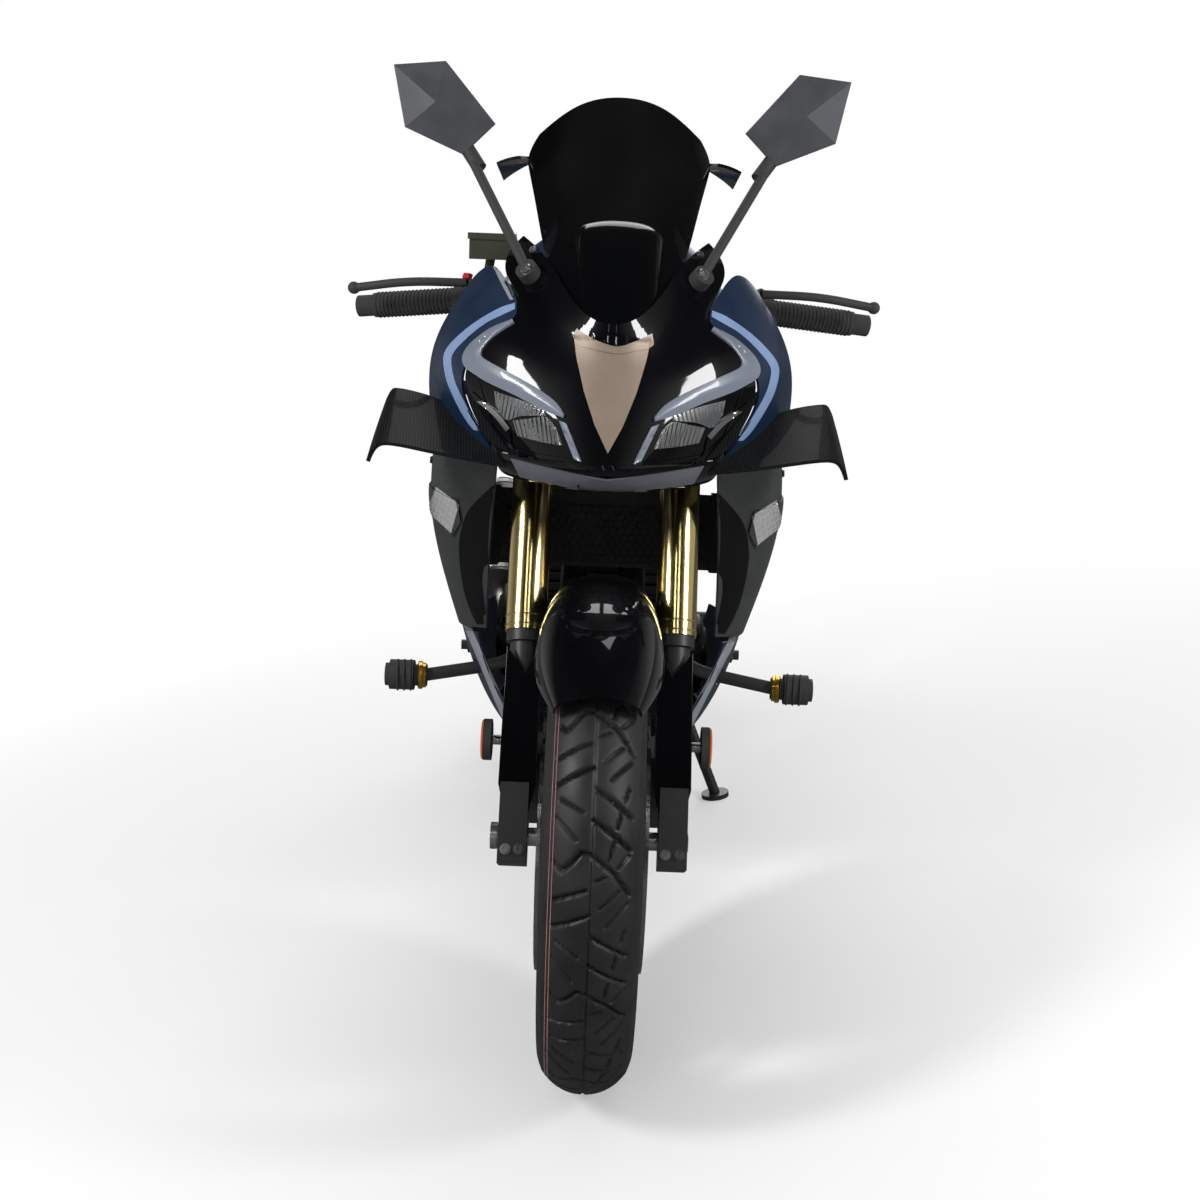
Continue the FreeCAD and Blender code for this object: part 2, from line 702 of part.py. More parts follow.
def build_reservoir():
    """Fluid box over the right brake perch, on a bracket that stands on the perch."""
    half = float(size("handlebar_half"))
    grip_start = half - float(size("grip_length"))
    ends = [bar_point(grip_start - back, RIGHT) for back in (46, 24)]
    perch = rod("perch_clear", ends[0], ends[1], 19 + GAP)
    foot = tuple((a + b) / 2 for a, b in zip(*ends))
    tilt = Rotation(Vector(1, 0, 0), 25)
    spot = Vector(foot[0] + 10, foot[1] - 26, foot[2] + 58)
    jar = box("reservoir_jar", (56, 44, 26), tuple(spot), tilt)
    lid = box("reservoir_lid", (60, 48, 8), tuple(spot + tilt.multVec(Vector(0, 0, 16))), tilt)
    arm = rod("reservoir_arm", foot, tuple(spot), 6)
    solid = cut("reservoir_cut", fuse("reservoir_join", [jar, lid, arm]), perch)
    node("brake_reservoir", group("brake_reservoir", [solid]), FORK_FRAME)


def mudguard_rows():
    """Net of the front mudguard, front edge first, one half."""
    reach = float(size("front_tyre_radius")) + 27
    rows = []
    for angle, widest, side_drop in MUDGUARD_STATIONS:
        turn = math.radians(angle)
        row = []
        for share, drop in ((0, 0), (0.44, 4), (0.8, 16), (1.0, 0.62 * side_drop), (1.0, side_drop)):
            radius = reach - drop
            row.append((share * widest, radius * math.sin(turn),
                        float(FRONT_AXLE_HEIGHT) + radius * math.cos(turn)))
        rows.append(row)
    return rows


def build_front_mudguard():
    """A hugging front mudguard bolted between the fork legs."""
    shell = feature("mudguard_shell", skin(both_halves(mudguard_rows()), 0, WALL))
    pads = []
    for side in SIDES:
        outer = size("fork_half_spacing") - size("fork_leg_radius") - GAP
        pads.append(box(f"mudguard_pad_{side + 1}", (outer - 58, 26, 34), (side * (outer + 58) / 2, 0, 212)))
    keep = feature("mudguard_inside", skin(both_halves(mudguard_rows()), WALL, 40))
    lugs = fuse("mudguard_lugs", pads)
    lugs.Placement = FORK_FRAME
    node("front_fender", fuse("front_fender", [shell, cut("mudguard_lugs_cut", lugs, keep)]))


def caliper(name, plane, half, reach, depth, length, angle, frame_disc):
    """A caliper straddling a disc, set at an angle round the axle."""
    turn = Rotation(Vector(1, 0, 0), angle)
    spot = turn.multVec(Vector(0, reach, 0))
    block = box(f"{name}_block", (2 * half, depth, length), (plane, spot.y, spot.z), turn)
    slot_depth = float(frame_disc) + 6
    slot_spot = turn.multVec(Vector(0, slot_depth / 2, 0))
    slot = box(f"{name}_slot", (13, slot_depth, length + 20), (plane, slot_spot.y, slot_spot.z), turn)
    return cut(name, block, slot)


def build_brakes():
    """Calipers over the discs."""
    plane = float(size("front_disc_plane"))
    radius = size("front_disc_radius")
    calipers = [caliper(f"front_caliper_{side + 1}", side * plane, CALIPER_HALF, float(radius) - 8, 60, 100, 35, radius)
                for side in SIDES]
    node("front_calipers", group("front_calipers", calipers), FORK_FRAME)
    plane = float(size("rear_disc_plane"))
    half = float(size("swingarm_inner")) - float(GAP) - plane
    radius = size("rear_disc_radius")
    rear = caliper("rear_caliper_body", -plane, half, float(radius) - 6, 50, 74, 132, radius)
    node("rear_caliper", group("rear_caliper", [rear]), REAR_WHEEL_FRAME)


def build_reflectors():
    """Round side reflectors on short stems screwed into the fork legs."""
    items = []
    leg_side = size("fork_half_spacing") + size("fork_leg_radius")
    for side in SIDES:
        stem = cross_cylinder(f"reflector_stem_{side + 1}", 5, 9, (side * (leg_side + 9 + GAP), 0, REFLECTOR_HEIGHT))
        face = cross_cylinder(f"reflector_face_{side + 1}", 25, 5, (side * (leg_side + 21), 0, REFLECTOR_HEIGHT))
        items.append(fuse(f"reflector_{side + 1}", [stem, face]))
    node("fork_reflectors", group("fork_reflectors", items), FORK_FRAME)


def net_spot(rows, down, across, depth=0.0):
    """A point under a net, given by its shares of the way down and across."""
    points = grid(rows)
    surface = smooth_surface(points)
    u0, u1, v0, v1 = surface.bounds()
    u, v = u0 + (u1 - u0) * down, v0 + (v1 - v0) * across
    normal = surface.normal(u, v)
    inward = normals(points)[len(points) // 2][len(points[0]) // 2]
    if normal.dot(inward) < 0:
        normal = -normal
    return surface.value(u, v) + normal * float(depth)


def panel_stay(name, start, rows, down, across, radius=8):
    """A bracket from the frame to the inside of a moulded panel."""
    spot = net_spot(rows, down, across, 1)
    bar = rod(name, start, tuple(spot), radius)
    return cut(f"{name}_cut", bar, feature(f"{name}_clear", skin(rows, -14, WALL + GAP)))


def build_frame():
    """Head tube, twin spars, cradle tubes, pivot plates, rails and panel stays."""
    spar, brace = size("spar_radius"), size("brace_radius")
    inner = size("pivot_plate_inner")
    wall = size("pivot_plate_wall")
    pivot_y, pivot_z = size("pivot_y"), size("pivot_height")
    head_low = size("lower_clamp_start") + size("clamp_thickness") + 1
    head_high = size("upper_clamp_start") - 1
    head = cylinder("head_tube", size("head_tube_radius"), head_high - head_low,
                    tuple(FORK_FRAME.multVec(Vector(0, size("steering_offset"), head_low))), FORK_FRAME.Rotation)
    head_bore = cylinder("head_bore", size("head_tube_bore"), head_high - head_low + 80,
                         tuple(FORK_FRAME.multVec(Vector(0, size("steering_offset"), head_low - 40))),
                         FORK_FRAME.Rotation)
    front = [head]
    parts = [cross_cylinder("pivot_shaft", size("pivot_shaft_radius"), inner + wall, (0, pivot_y, pivot_z)),
             cross_cylinder("shock_tube", brace, 116, SHOCK_TOP)]
    spar_x = float(inner + wall) + 2
    for side in SIDES:
        name = "left" if side == LEFT else "right"
        front.append(tube(f"spar_{name}", [
            (side * 16, 284, 806), (side * 118, 430, 752), (side * 128, 640, 640),
            (side * spar_x, 822, 510), (side * spar_x, 838, 494)], spar, 120))
        front.append(tube(f"cradle_{name}", [
            (side * 16, 272, 778), (side * 118, 372, 640), (side * 122, 520, 560),
            (side * 126, 700, 592)], brace + 3, 90))
        rail = tube(f"seat_rail_{name}", [
            (side * 124, 680, 606), (side * 112, 800, 690), (side * 92, 915, 712)], brace, 90)
        post = rod(f"seat_post_{name}", (side * 102, 850, 702), (side * 100, 850, 765), brace - 2)
        rest = rod(f"tank_post_{name}", (side * 124, 560, 686), (side * 112, 560, 822), brace - 2)
        parts += [cut(f"seat_rail_cut_{name}", rail, feature(f"tail_clear_{name}", hull(grown(TAIL)))),
                  cut(f"seat_post_cut_{name}", post, feature(f"seat_clear_{name}", hull(grown(RIDER_SEAT)))),
                  cut(f"tank_post_cut_{name}", rest, feature(f"tank_clear_{name}", hull(grown(FUEL_TANK))))]
        plate = DOC.addObject("Part::Box", f"pivot_plate_{name}")
        bind(plate, "Length", wall)
        plate.Width, plate.Height = 120, 210
        put(plate, inner if side == LEFT else -inner - wall, pivot_y - 62, pivot_z - 100)
        parts.append(plate)
        hook = box(f"radiator_hook_{name}", (18, 66, 14), (side * 124, 342, 628))
        parts.append(cut(f"radiator_hook_cut_{name}", hook, radiator_block(f"radiator_clear_{name}", GAP)))
    for name, z in (("upper", 496), ("lower", 320)):
        parts.append(cross_cylinder(f"cross_tube_{name}", brace, float(inner) + 4,
                                    (0, GEARBOX_BACK + GAP + brace, z)))
    for stay in (panel_stay("cowl_stay", (120, 448, 744), cowl_rows(), 0.5, 0.72),
                 panel_stay("mid_stay", (122, 500, 570), mid_rows(), 0.5, 0.6)):
        parts += [stay, mirror_copy(f"{stay.Name}_right", stay)]
    lug_x = size("stand_pivot_x") - STAND_EYE_HALF - GAP
    stand_y, stand_z = size("stand_pivot_y"), size("stand_pivot_height")
    parts.append(box("stand_lug", (lug_x - inner, 46, 80), ((lug_x + inner) / 2, stand_y - 8, stand_z + 20)))
    pin_end = size("stand_pivot_x") + STAND_EYE_HALF + GAP
    parts.append(cylinder("stand_pin", size("stand_pin_radius"), pin_end + 3 - inner,
                          (inner, stand_y, stand_z), AXIS_X))
    parts.append(cylinder("stand_pin_head", 10, 6, (pin_end, stand_y, stand_z), AXIS_X))
    stay = tube("nose_stay", [(0, 272, 812), (0, 196, 842), (0, 120, 856)], brace - 2, 60)
    yoke = tube("nose_yoke", [(-104, 160, 962), (-66, 132, 890), (0, 122, 856), (66, 132, 890), (104, 160, 962)],
                brace - 3, 60)
    nose_clear = feature("nose_clear", skin(both_halves(nose_rows()), -20, WALL + GAP))
    front += [stay, cut("nose_yoke_cut", yoke, nose_clear)]
    bored = cut("frame_front", fuse("frame_front_join", front), head_bore)
    node("main_frame", fuse_in_turn("main_frame", [bored] + parts))


def radiator_block(name, margin):
    """The radiator's core between its two tanks, grown by a margin."""
    tilt = Rotation(Vector(1, 0, 0), -8)
    core = box(f"{name}_core", (286 + 2 * margin, 26 + 2 * margin, 100 + 2 * margin), (0, 306, 616), tilt)
    tanks = [box(f"{name}_tank_{side + 1}", (20 + 2 * margin, 36 + 2 * margin, 106 + 2 * margin),
                 (side * 151, 306, 616), tilt) for side in SIDES]
    return fuse(name, [core] + tanks)


def build_engine():
    """Crankcase, leaned cylinder block, head and side covers."""
    case = box("crankcase", (250, 240, 176), (0, 590, 392))
    gearbox = box("gearbox", (136, GEARBOX_BACK - 690, 150), (0, (GEARBOX_BACK + 690) / 2, 395))
    shaft_end = size("chain_plane") + 8
    shaft = cylinder("output_shaft", 12, shaft_end - 40, (40, 764, 400), AXIS_X)
    block_turn = Rotation(Vector(1, 0, 0), 14)
    block = box("cylinder_block", (196, 150, 190), (0, 540, 540), block_turn)
    head = box("cylinder_head", (206, 172, 70), (0, 508, 660), block_turn)
    covers = [cross_cylinder("clutch_cover", 74, 10, (-134, 620, 396)),
              cross_cylinder("alternator_cover", 62, 10, (134, 560, 384))]
    lug = panel_stay("belly_lug", (112, 610, 330), belly_rows(), 0.42, 0.52)
    node("engine", fuse("engine", [case, gearbox, block, head, shaft, lug, mirror_copy("belly_lug_right", lug)] + covers))
    node("radiator", radiator_block("radiator", 0))


def build_exhaust():
    """Two headers, a collector under the engine and a muffler on the right."""
    along = (MUFFLER_END - MUFFLER_START).normalize()
    headers = []
    for side in SIDES:
        headers.append(tube(f"header_{side + 1}", [
            (side * 38, 480, 566), (side * 40, 396, 540), (side * 40, 392, 420), (side * 36, 420, 272),
            (side * 30, 560, 262), (-20, 700, 260)], 19, 60))
    corner = MUFFLER_START - along * 64
    link = tube("collector", [(-20, 690, 260), (-24, 800, 256), (-58, 920, 256), tuple(corner),
                              tuple(MUFFLER_START - along * float(GAP))], 25, 90)
    pipes = fuse("exhaust_join", headers + [link])
    block_face = box("header_face", (206, 150, 190), (0, 540, 540), Rotation(Vector(1, 0, 0), 14))
    node("exhaust_pipe", cut("exhaust_pipe", pipes, block_face))
    can = rod("muffler_can", tuple(MUFFLER_START), tuple(MUFFLER_END), 52)
    tip = rod("muffler_tip", tuple(MUFFLER_END - along * 5), tuple(MUFFLER_END + along * 40), 34)
    bore = rod("muffler_bore", tuple(MUFFLER_END - along * 60), tuple(MUFFLER_END + along * 60), 27)
    node("muffler", cut("muffler", fuse("muffler_join", [can, tip]), bore))


def grown(stations):
    """The sections of a hull, grown by the running gap all round."""
    gap = float(GAP)
    middle = sum(z for _, half in stations for _, z in half) / sum(len(half) for _, half in stations)
    first, last = stations[0][0], stations[-1][0]
    found = []
    for y, half in stations:
        level = (half[0][1] + half[-1][1]) / 2
        shifted = y - gap if y == first else y + gap if y == last else y
        found.append((shifted, [(x + gap if x else 0, z + (gap if z > level else -gap)) for x, z in half]))
    return found


FUEL_TANK = [
    (412, [(0, 962), (52, 952), (90, 905), (88, 836), (0, 810)]),
    (470, [(0, 1004), (80, 986), (136, 922), (140, 812), (0, 772)]),
    (560, [(0, 1012), (92, 994), (158, 922), (164, 772), (0, 726)]),
    (660, [(0, 970), (82, 952), (144, 884), (152, 752), (0, 712)]),
    (752, [(0, 892), (62, 876), (102, 836), (106, 748), (0, 728)]),
]
RIDER_SEAT = [
    (FUEL_TANK[-1][0] + 2 * float(GAP), [(0, 816), (62, 808), (98, 776), (92, 738), (0, 726)]),
    (850, [(0, 796), (80, 790), (122, 768), (104, 742), (0, 736)]),
    (960, [(0, 806), (96, 802), (134, 782), (112, 756), (0, 750)]),
    (1040, [(0, 842), (84, 838), (112, 812), (96, 784), (0, 776)]),
]
PILLION_SEAT = [
    (1076, [(0, 920), (70, 914), (98, 896), (86, 872), (0, 866)]),
    (1160, [(0, 960), (80, 954), (106, 930), (92, 898), (0, 892)]),
    (1290, [(0, 990), (66, 984), (84, 962), (70, 932), (0, 926)]),
    (1370, [(0, 1000), (44, 995), (56, 982), (46, 960), (0, 956)]),
]
TAIL = [
    (905, [(0, 745), (70, 742), (118, 724), (106, 668), (0, 648)]),
    (1000, [(0, 785), (84, 780), (130, 752), (114, 690), (0, 672)]),
    (1080, [(0, 884), (90, 878), (126, 826), (110, 748), (0, 726)]),
    (1180, [(0, 916), (86, 912), (118, 880), (98, 812), (0, 790)]),
    (1320, [(0, 948), (68, 945), (94, 930), (76, 880), (0, 862)]),
    (1470, [(0, 995), (52, 988), (74, 972), (56, 930), (0, 918)]),
    (1560, [(0, 1012), (36, 1008), (52, 994), (40, 966), (0, 958)]),
]


def build_tank_and_seats():
    """Fuel tank, both seats and the tail moulding they sit in."""
    node("fuel_tank", feature("fuel_tank", hull(FUEL_TANK)))
    node("rider_seat", feature("rider_seat", hull(RIDER_SEAT)))
    node("pillion_seat", feature("pillion_seat", hull(PILLION_SEAT)))
    tail = hull(TAIL).cut(hull(grown(RIDER_SEAT))).cut(hull(grown(PILLION_SEAT)))
    node("tail_cowl", feature("tail_cowl", largest(tail)))


def cowl_rows():
    """Net of the upper side cowl, top edge first, front edge first."""
    return [
        [(107, 82, 905), (128, 120, 942), (145, 160, 971), (186, 225, 932), (214, 300, 878), (224, 380, 826),
         (222, 520, 796)],
        [(142, 78, 885), (162, 118, 918), (184, 165, 925), (210, 225, 896), (227, 300, 848), (233, 385, 804),
         (228, 525, 775)],
        [(188, 90, 842), (208, 130, 858), (222, 175, 866), (234, 228, 852), (240, 305, 820), (241, 390, 780),
         (234, 530, 752)],
        [(172, 76, 795), (198, 122, 805), (215, 170, 810), (230, 232, 802), (239, 305, 778), (242, 392, 748),
         (236, 535, 728)],
        [(136, 66, 745), (170, 108, 745), (196, 160, 744), (219, 225, 742), (233, 302, 733), (240, 395, 716),
         (236, 540, 704)],
    ]


def mid_rows():
    """Net of the lower side cowl."""
    return [
        [(134, 100, 722), (180, 150, 731), (212, 205, 734), (231, 290, 725), (238, 400, 706), (233, 540, 694)],
        [(140, 150, 668), (190, 195, 668), (224, 240, 664), (240, 310, 655), (246, 410, 640), (240, 560, 626)],
        [(147, 205, 600), (182, 235, 598), (212, 272, 592), (232, 330, 584), (240, 425, 570), (236, 580, 556)],
        [(152, 250, 535), (172, 270, 533), (193, 298, 528), (214, 350, 520), (226, 440, 508), (226, 600, 495)],
        [(154, 285, 478), (164, 296, 476), (177, 315, 472), (196, 360, 462), (210, 450, 452), (214, 620, 440)],
    ]


def belly_rows():
    """Net of the belly cowl, one side."""
    return [
        [(168, 318, 462), (190, 372, 452), (205, 460, 440), (206, 600, 430), (196, 720, 416), (180, 800, 408)],
        [(158, 335, 410), (180, 390, 398), (192, 480, 384), (192, 610, 372), (182, 715, 362), (168, 792, 358)],
        [(136, 356, 355), (156, 405, 338), (168, 490, 322), (168, 615, 312), (158, 705, 308), (146, 770, 310)],
        [(100, 378, 300), (118, 425, 280), (130, 505, 256), (130, 620, 246), (122, 690, 248), (112, 740, 258)],
        [(50, 390, 268), (58, 440, 236), (64, 515, 212), (66, 625, 204), (60, 680, 210), (54, 715, 220)],
        [(3, 396, 258), (3, 445, 226), (3, 518, 204), (3, 625, 196), (3, 680, 202), (3, 705, 212)],
    ]


def nose_rows():
    """Net of the nose face, from the middle out, top edge first."""
    return [
        [(0, 15, 899), (30, 27, 905), (62, 72, 940), (80, 124, 974), (112, 176, 994)],
        [(0, 11, 884), (40, 30, 890), (78, 76, 924), (100, 120, 952), (139, 160, 968)],
        [(0, 5, 867), (42, 26, 873), (84, 60, 898), (104, 92, 926), (125, 120, 939)],
        [(0, -2, 850), (46, 20, 856), (88, 46, 876), (101, 62, 892), (103, 84, 906)],
        [(0, -9, 832), (50, 12, 840), (94, 38, 858), (118, 52, 872), (138, 74, 886)],
        [(0, -17, 812), (50, 3, 818), (100, 28, 828), (146, 54, 838), (181, 86, 841)],
        [(0, -28, 780), (44, -14, 783), (88, 12, 788), (132, 42, 793), (165, 72, 796)],
        [(0, -36, 748), (34, -24, 748), (70, -2, 748), (102, 26, 747), (129, 58, 747)],
    ]


def chin_rows():
    """Net of the lip under the nose, from the middle out."""
    return [
        [(x, y, z - float(SEAM)) for x, y, z in nose_rows()[-1]],
        [(0, -40, 731), (38, -27, 731), (74, -4, 731), (108, 26, 731), (134, 60, 731)],
        [(0, -26, 717), (36, -14, 717), (72, 8, 717), (104, 36, 717), (126, 70, 718)],
        [(0, 14, 712), (34, 22, 712), (68, 40, 712), (98, 62, 712), (114, 90, 713)],
    ]


SIGNAL_OUTLINE = [(188, 664), (236, 668), (240, 650), (230, 622), (198, 608), (184, 634)]
LAMP_OUTLINE = [(158, 838), (110, 826), (64, 802), (46, 778), (30, 752), (70, 752), (112, 756), (134, 776)]
PANEL_OUTLINE = [(44, 884), (40, 862), (30, 826), (16, 790), (0, 760), (-16, 790), (-30, 826), (-40, 862), (-44, 884)]


def shrunk(outline, gap):
    """An outline drawn in towards its middle by about a gap."""
    middle_x = sum(x for x, z in outline) / len(outline)
    middle_z = sum(z for x, z in outline) / len(outline)
    near = []
    for x, z in outline:
        away = Vector(x - middle_x, 0, z - middle_z)
        share = 1 - float(gap) / away.Length
        near.append((middle_x + away.x * share, middle_z + away.z * share))
    return near


SCREEN_NET = [
    [(0, 18, 894), (12, 20, 894), (24, 26, 897), (34, 34, 902)],
    [(0, 45, 920), (28, 50, 922), (52, 64, 928), (70, 86, 938)],
    [(0, 80, 954), (34, 86, 955), (62, 102, 960), (82, 128, 968)],
    [(0, 118, 990), (38, 124, 991), (70, 144, 994), (92, 176, 1000)],
    [(0, 160, 1024), (42, 167, 1025), (78, 190, 1028), (101, 226, 1034)],
    [(0, 215, 1068), (48, 224, 1069), (88, 250, 1072), (114, 290, 1076)],
    [(0, 270, 1115), (50, 279, 1114), (92, 304, 1108), (120, 332, 1096)],
    [(0, 335, 1172), (40, 336, 1168), (74, 338, 1150), (104, 342, 1122)],
]


def build_fairing():
    """Nose, screen, lamps and every moulded side panel."""
    node("windscreen", feature("windscreen", skin(both_halves(SCREEN_NET), -3, 0)))
    under_screen = skin(both_halves(SCREEN_NET), -30, GAP)
    face = skin(both_halves(nose_rows()), 0, WALL)
    lamp = prism(LAMP_OUTLINE, -200, 300, "y")
    panel_cut = prism(PANEL_OUTLINE, -200, 300, "y")
    nose = largest(face.cut(lamp).cut(mirrored(lamp)).cut(panel_cut).cut(under_screen))
    node("nose_cowl", feature("nose_cowl", nose))
    inlay = skin(both_halves(nose_rows()), -1, WALL).common(prism(shrunk(PANEL_OUTLINE, SEAM), -200, 300, "y"))
    node("nose_panel", feature("nose_panel", largest(inlay)))
    lens_prism = prism(shrunk(LAMP_OUTLINE, SEAM), -200, 300, "y")
    lens = largest(skin(both_halves(nose_rows()), 1, 26).common(lens_prism))
    node("headlights", group("headlights", [feature("lamp_left", lens), feature("lamp_right", mirrored(lens))]))

    node("chin_panel", feature("chin_panel", skin(both_halves(chin_rows()), 0, WALL)))

    nose_clear = skin(both_halves(nose_rows()), -8, WALL + SEAM)
    chin_clear = skin(both_halves(chin_rows()), -GAP, 9)
    for name, rows in (("side_cowl", cowl_rows()), ("mid_cowl", mid_rows()), ("belly_cowl", belly_rows())):
        left = skin(rows, 0, WALL)
        if name == "side_cowl":
            left = largest(left.cut(nose_clear))
        if name == "mid_cowl":
            left = largest(left.cut(prism(SIGNAL_OUTLINE, 60, 420, "y")))
        if name == "belly_cowl":
            left = largest(left.cut(Part.makeCylinder(13, 200, SLIDER_BEND, SLIDER_TIP - SLIDER_BEND)))
        node(f"{name}_left", feature(f"{name}_left", left))
        node(f"{name}_right", feature(f"{name}_right", mirrored(left)))

    wing_rows = [
        [(112, 44, 732), (128, 62, 748), (146, 84, 772)],
        [(165, 60, 737), (180, 104, 762), (196, 160, 792)],
        [(225, 74, 746), (232, 130, 772), (240, 196, 800)],
        [(268, 84, 752), (268, 140, 778), (268, 204, 803)],
        [(281, 90, 744), (279, 142, 772), (274, 206, 802)],
        [(289, 98, 724), (286, 146, 754), (280, 206, 788)],
    ]
    inside = skin(cowl_rows(), -GAP, 70)
    wing = largest(skin(wing_rows, 0, 5).cut(inside).cut(chin_clear))
    node("winglets", group("winglets", [feature("winglet_left", wing), feature("winglet_right", mirrored(wing))]))


def build_mirrors():
    """Kite-shaped mirrors on slim stems."""
    rows_left = [
        (153, 222, 1126), (216, 240, 1198), (280, 244, 1192), (264, 232, 1118), (192, 222, 1088)]
    middle = Vector(225, 214, 1148)
    front = [Vector(*p) for p in rows_left]
    faces = []
    for i, spot in enumerate(front):
        faces.append(Part.Face(Part.makePolygon([spot, front[(i + 1) % 5], middle, spot])))
    back = [spot + Vector(0, 14, 0) for spot in front]
    for i in range(5):
        j = (i + 1) % 5
        faces.append(Part.Face(Part.makePolygon([front[i], front[j], back[j], front[i]])))
        faces.append(Part.Face(Part.makePolygon([front[i], back[j], back[i], front[i]])))
        faces.append(Part.Face(Part.makePolygon([back[i], back[j], middle + Vector(0, 26, 0), back[i]])))
    shell = Part.makeShell(faces)
    shell.sewShape()
    head = Part.makeSolid(shell)
    if head.Volume < 0:
        head.reverse()
    case = feature("mirror_case", head)
    seat = net_spot(both_halves(nose_rows()), 0.08, 0.93, 3)
    outward = (seat - net_spot(both_halves(nose_rows()), 0.08, 0.93, 6)).normalize()
    foot = rod("mirror_foot", tuple(seat), tuple(seat + outward * 18), 13)
    root = seat + outward * 12
    stem = rod("mirror_stem", tuple(root), (186, 232, 1092), 6)
    neck = rod("mirror_neck", (170, 219, 1072), (196, 238, 1108), 9)
    arm = cut("mirror_arm", fuse("mirror_arm_join", [foot, stem, neck]),
              feature("mirror_clear", skin(both_halves(nose_rows()), -GAP, 30)))
    node("mirrors", pair("mirrors", fuse("mirror_left", [case, arm])))


def loop_edge(front, front_radius, rear, rear_radius, pitch, wave):
    """One edge of a chain's plate round two circles: straight runs swell at every second link by a wave."""
    along = rear - front
    tilt = math.atan2(along.z, along.y)
    open_angle = math.acos((front_radius - rear_radius) / along.Length)

    def spot(middle, radius, angle):
        return Vector(0, middle.y + radius * math.cos(angle), middle.z + radius * math.sin(angle))

    def arc(middle, radius, first, last):
        steps = max(2, round(abs(last - first) * radius / pitch))
        return [spot(middle, radius, first + (last - first) * i / steps) for i in range(steps + 1)]

    def run(start, stop, outward):
        links = int((stop - start).Length / (2 * pitch))
        return [start + (stop - start) * (i / links) + outward * (wave if i % 2 else 0) for i in range(1, links)]

    rear_arc = arc(rear, rear_radius, tilt + open_angle, tilt - open_angle)
    front_arc = arc(front, front_radius, tilt - open_angle, tilt + open_angle - 2 * math.pi)
    up = Vector(0, math.cos(tilt + open_angle), math.sin(tilt + open_angle))
    down = Vector(0, math.cos(tilt - open_angle), math.sin(tilt - open_angle))
    return (rear_arc + (run(rear_arc[-1], front_arc[0], down) if wave else []) + front_arc
            + (run(front_arc[-1], rear_arc[0], up) if wave else []))


def chain_plate(outer, inner, low, thickness):
    """One side plate of the chain, as the loop between two edges."""
    faces = []
    for edge in (outer, inner):
        points = [spot + Vector(low, 0, 0) for spot in edge]
        faces.append(Part.Face(Part.makePolygon(points + [points[0]])))
    return faces[0].cut(faces[1]).extrude(Vector(thickness, 0, 0))


def build_chain():
    """The drive chain as one loop, and the sprocket on the gearbox shaft."""
    plane = float(size("chain_plane"))
    pitch = float(size("chain_pitch"))
    front = Vector(0, 764, 400)
    rear = Vector(0, float(REAR_AXLE_Y), float(REAR_AXLE_HEIGHT))
    front_radius = pitch / (2 * math.sin(math.pi / float(size("front_sprocket_teeth"))))
    rear_radius = pitch / (2 * math.sin(math.pi / float(size("rear_sprocket_teeth"))))
    outer = loop_edge(front, front_radius + CHAIN_HALF, rear, rear_radius + CHAIN_HALF, pitch, 1.6)
    inner = loop_edge(front, front_radius - CHAIN_HALF, rear, rear_radius - CHAIN_HALF, pitch, 0)
    plates = [chain_plate(outer, inner, plane + low, CHAIN_PLATE) for low in (CHAIN_GAP, -CHAIN_GAP - CHAIN_PLATE)]
    along = rear - front
    turn = Rotation(Vector(1, 0, 0), math.degrees(math.atan2(along.z, along.y)))
    pins = []
    for level in (1, -1):
        lean = level * math.acos((front_radius - rear_radius) / along.Length)
        for i in range(CHAIN_PINS):
            share = 0.12 + 0.68 * i / (CHAIN_PINS - 1)
            radius = front_radius + (rear_radius - front_radius) * share
            middle = front + along * share + turn.multVec(Vector(0, math.cos(lean), math.sin(lean))) * radius
            pin = Part.makeBox(2 * CHAIN_GAP, 5, 5, Vector(-CHAIN_GAP, -2.5, -2.5))
            pin.Placement = Placement(middle + Vector(plane, 0, 0), turn)
            pins.append(pin)
    node("chain", feature("chain", plates[0].multiFuse([plates[1]] + pins)))
    gear = sprocket("front_sprocket_gear", size("front_sprocket_teeth"), 12.05, size("chain_plane"), 764, 400)
    washer = cross_cylinder("front_washer", front_radius - 3, CHAIN_GAP - float(GAP), (plane, 764, 400))
    hole = cross_cylinder("front_washer_hole", 12.05, 20, (plane, 764, 400))
    node("front_sprocket", fuse("front_sprocket", [gear, cut("front_washer_cut", washer, hole)]))


def hugger_rows():
    """Net of the rear wheel guard, one half, front edge first."""
    reach = float(size("rear_tyre_radius")) + 22
    rows = []
    for angle in (-72, -49, -26, -4, 16):
        turn = math.radians(angle)
        rows.append([(x, float(REAR_AXLE_Y) + (reach - drop) * math.sin(turn),
                      float(REAR_AXLE_HEIGHT) + (reach - drop) * math.cos(turn))
                     for x, drop in ((0, 0), (40, 6), (63, 20), (74, 46))])
    return rows


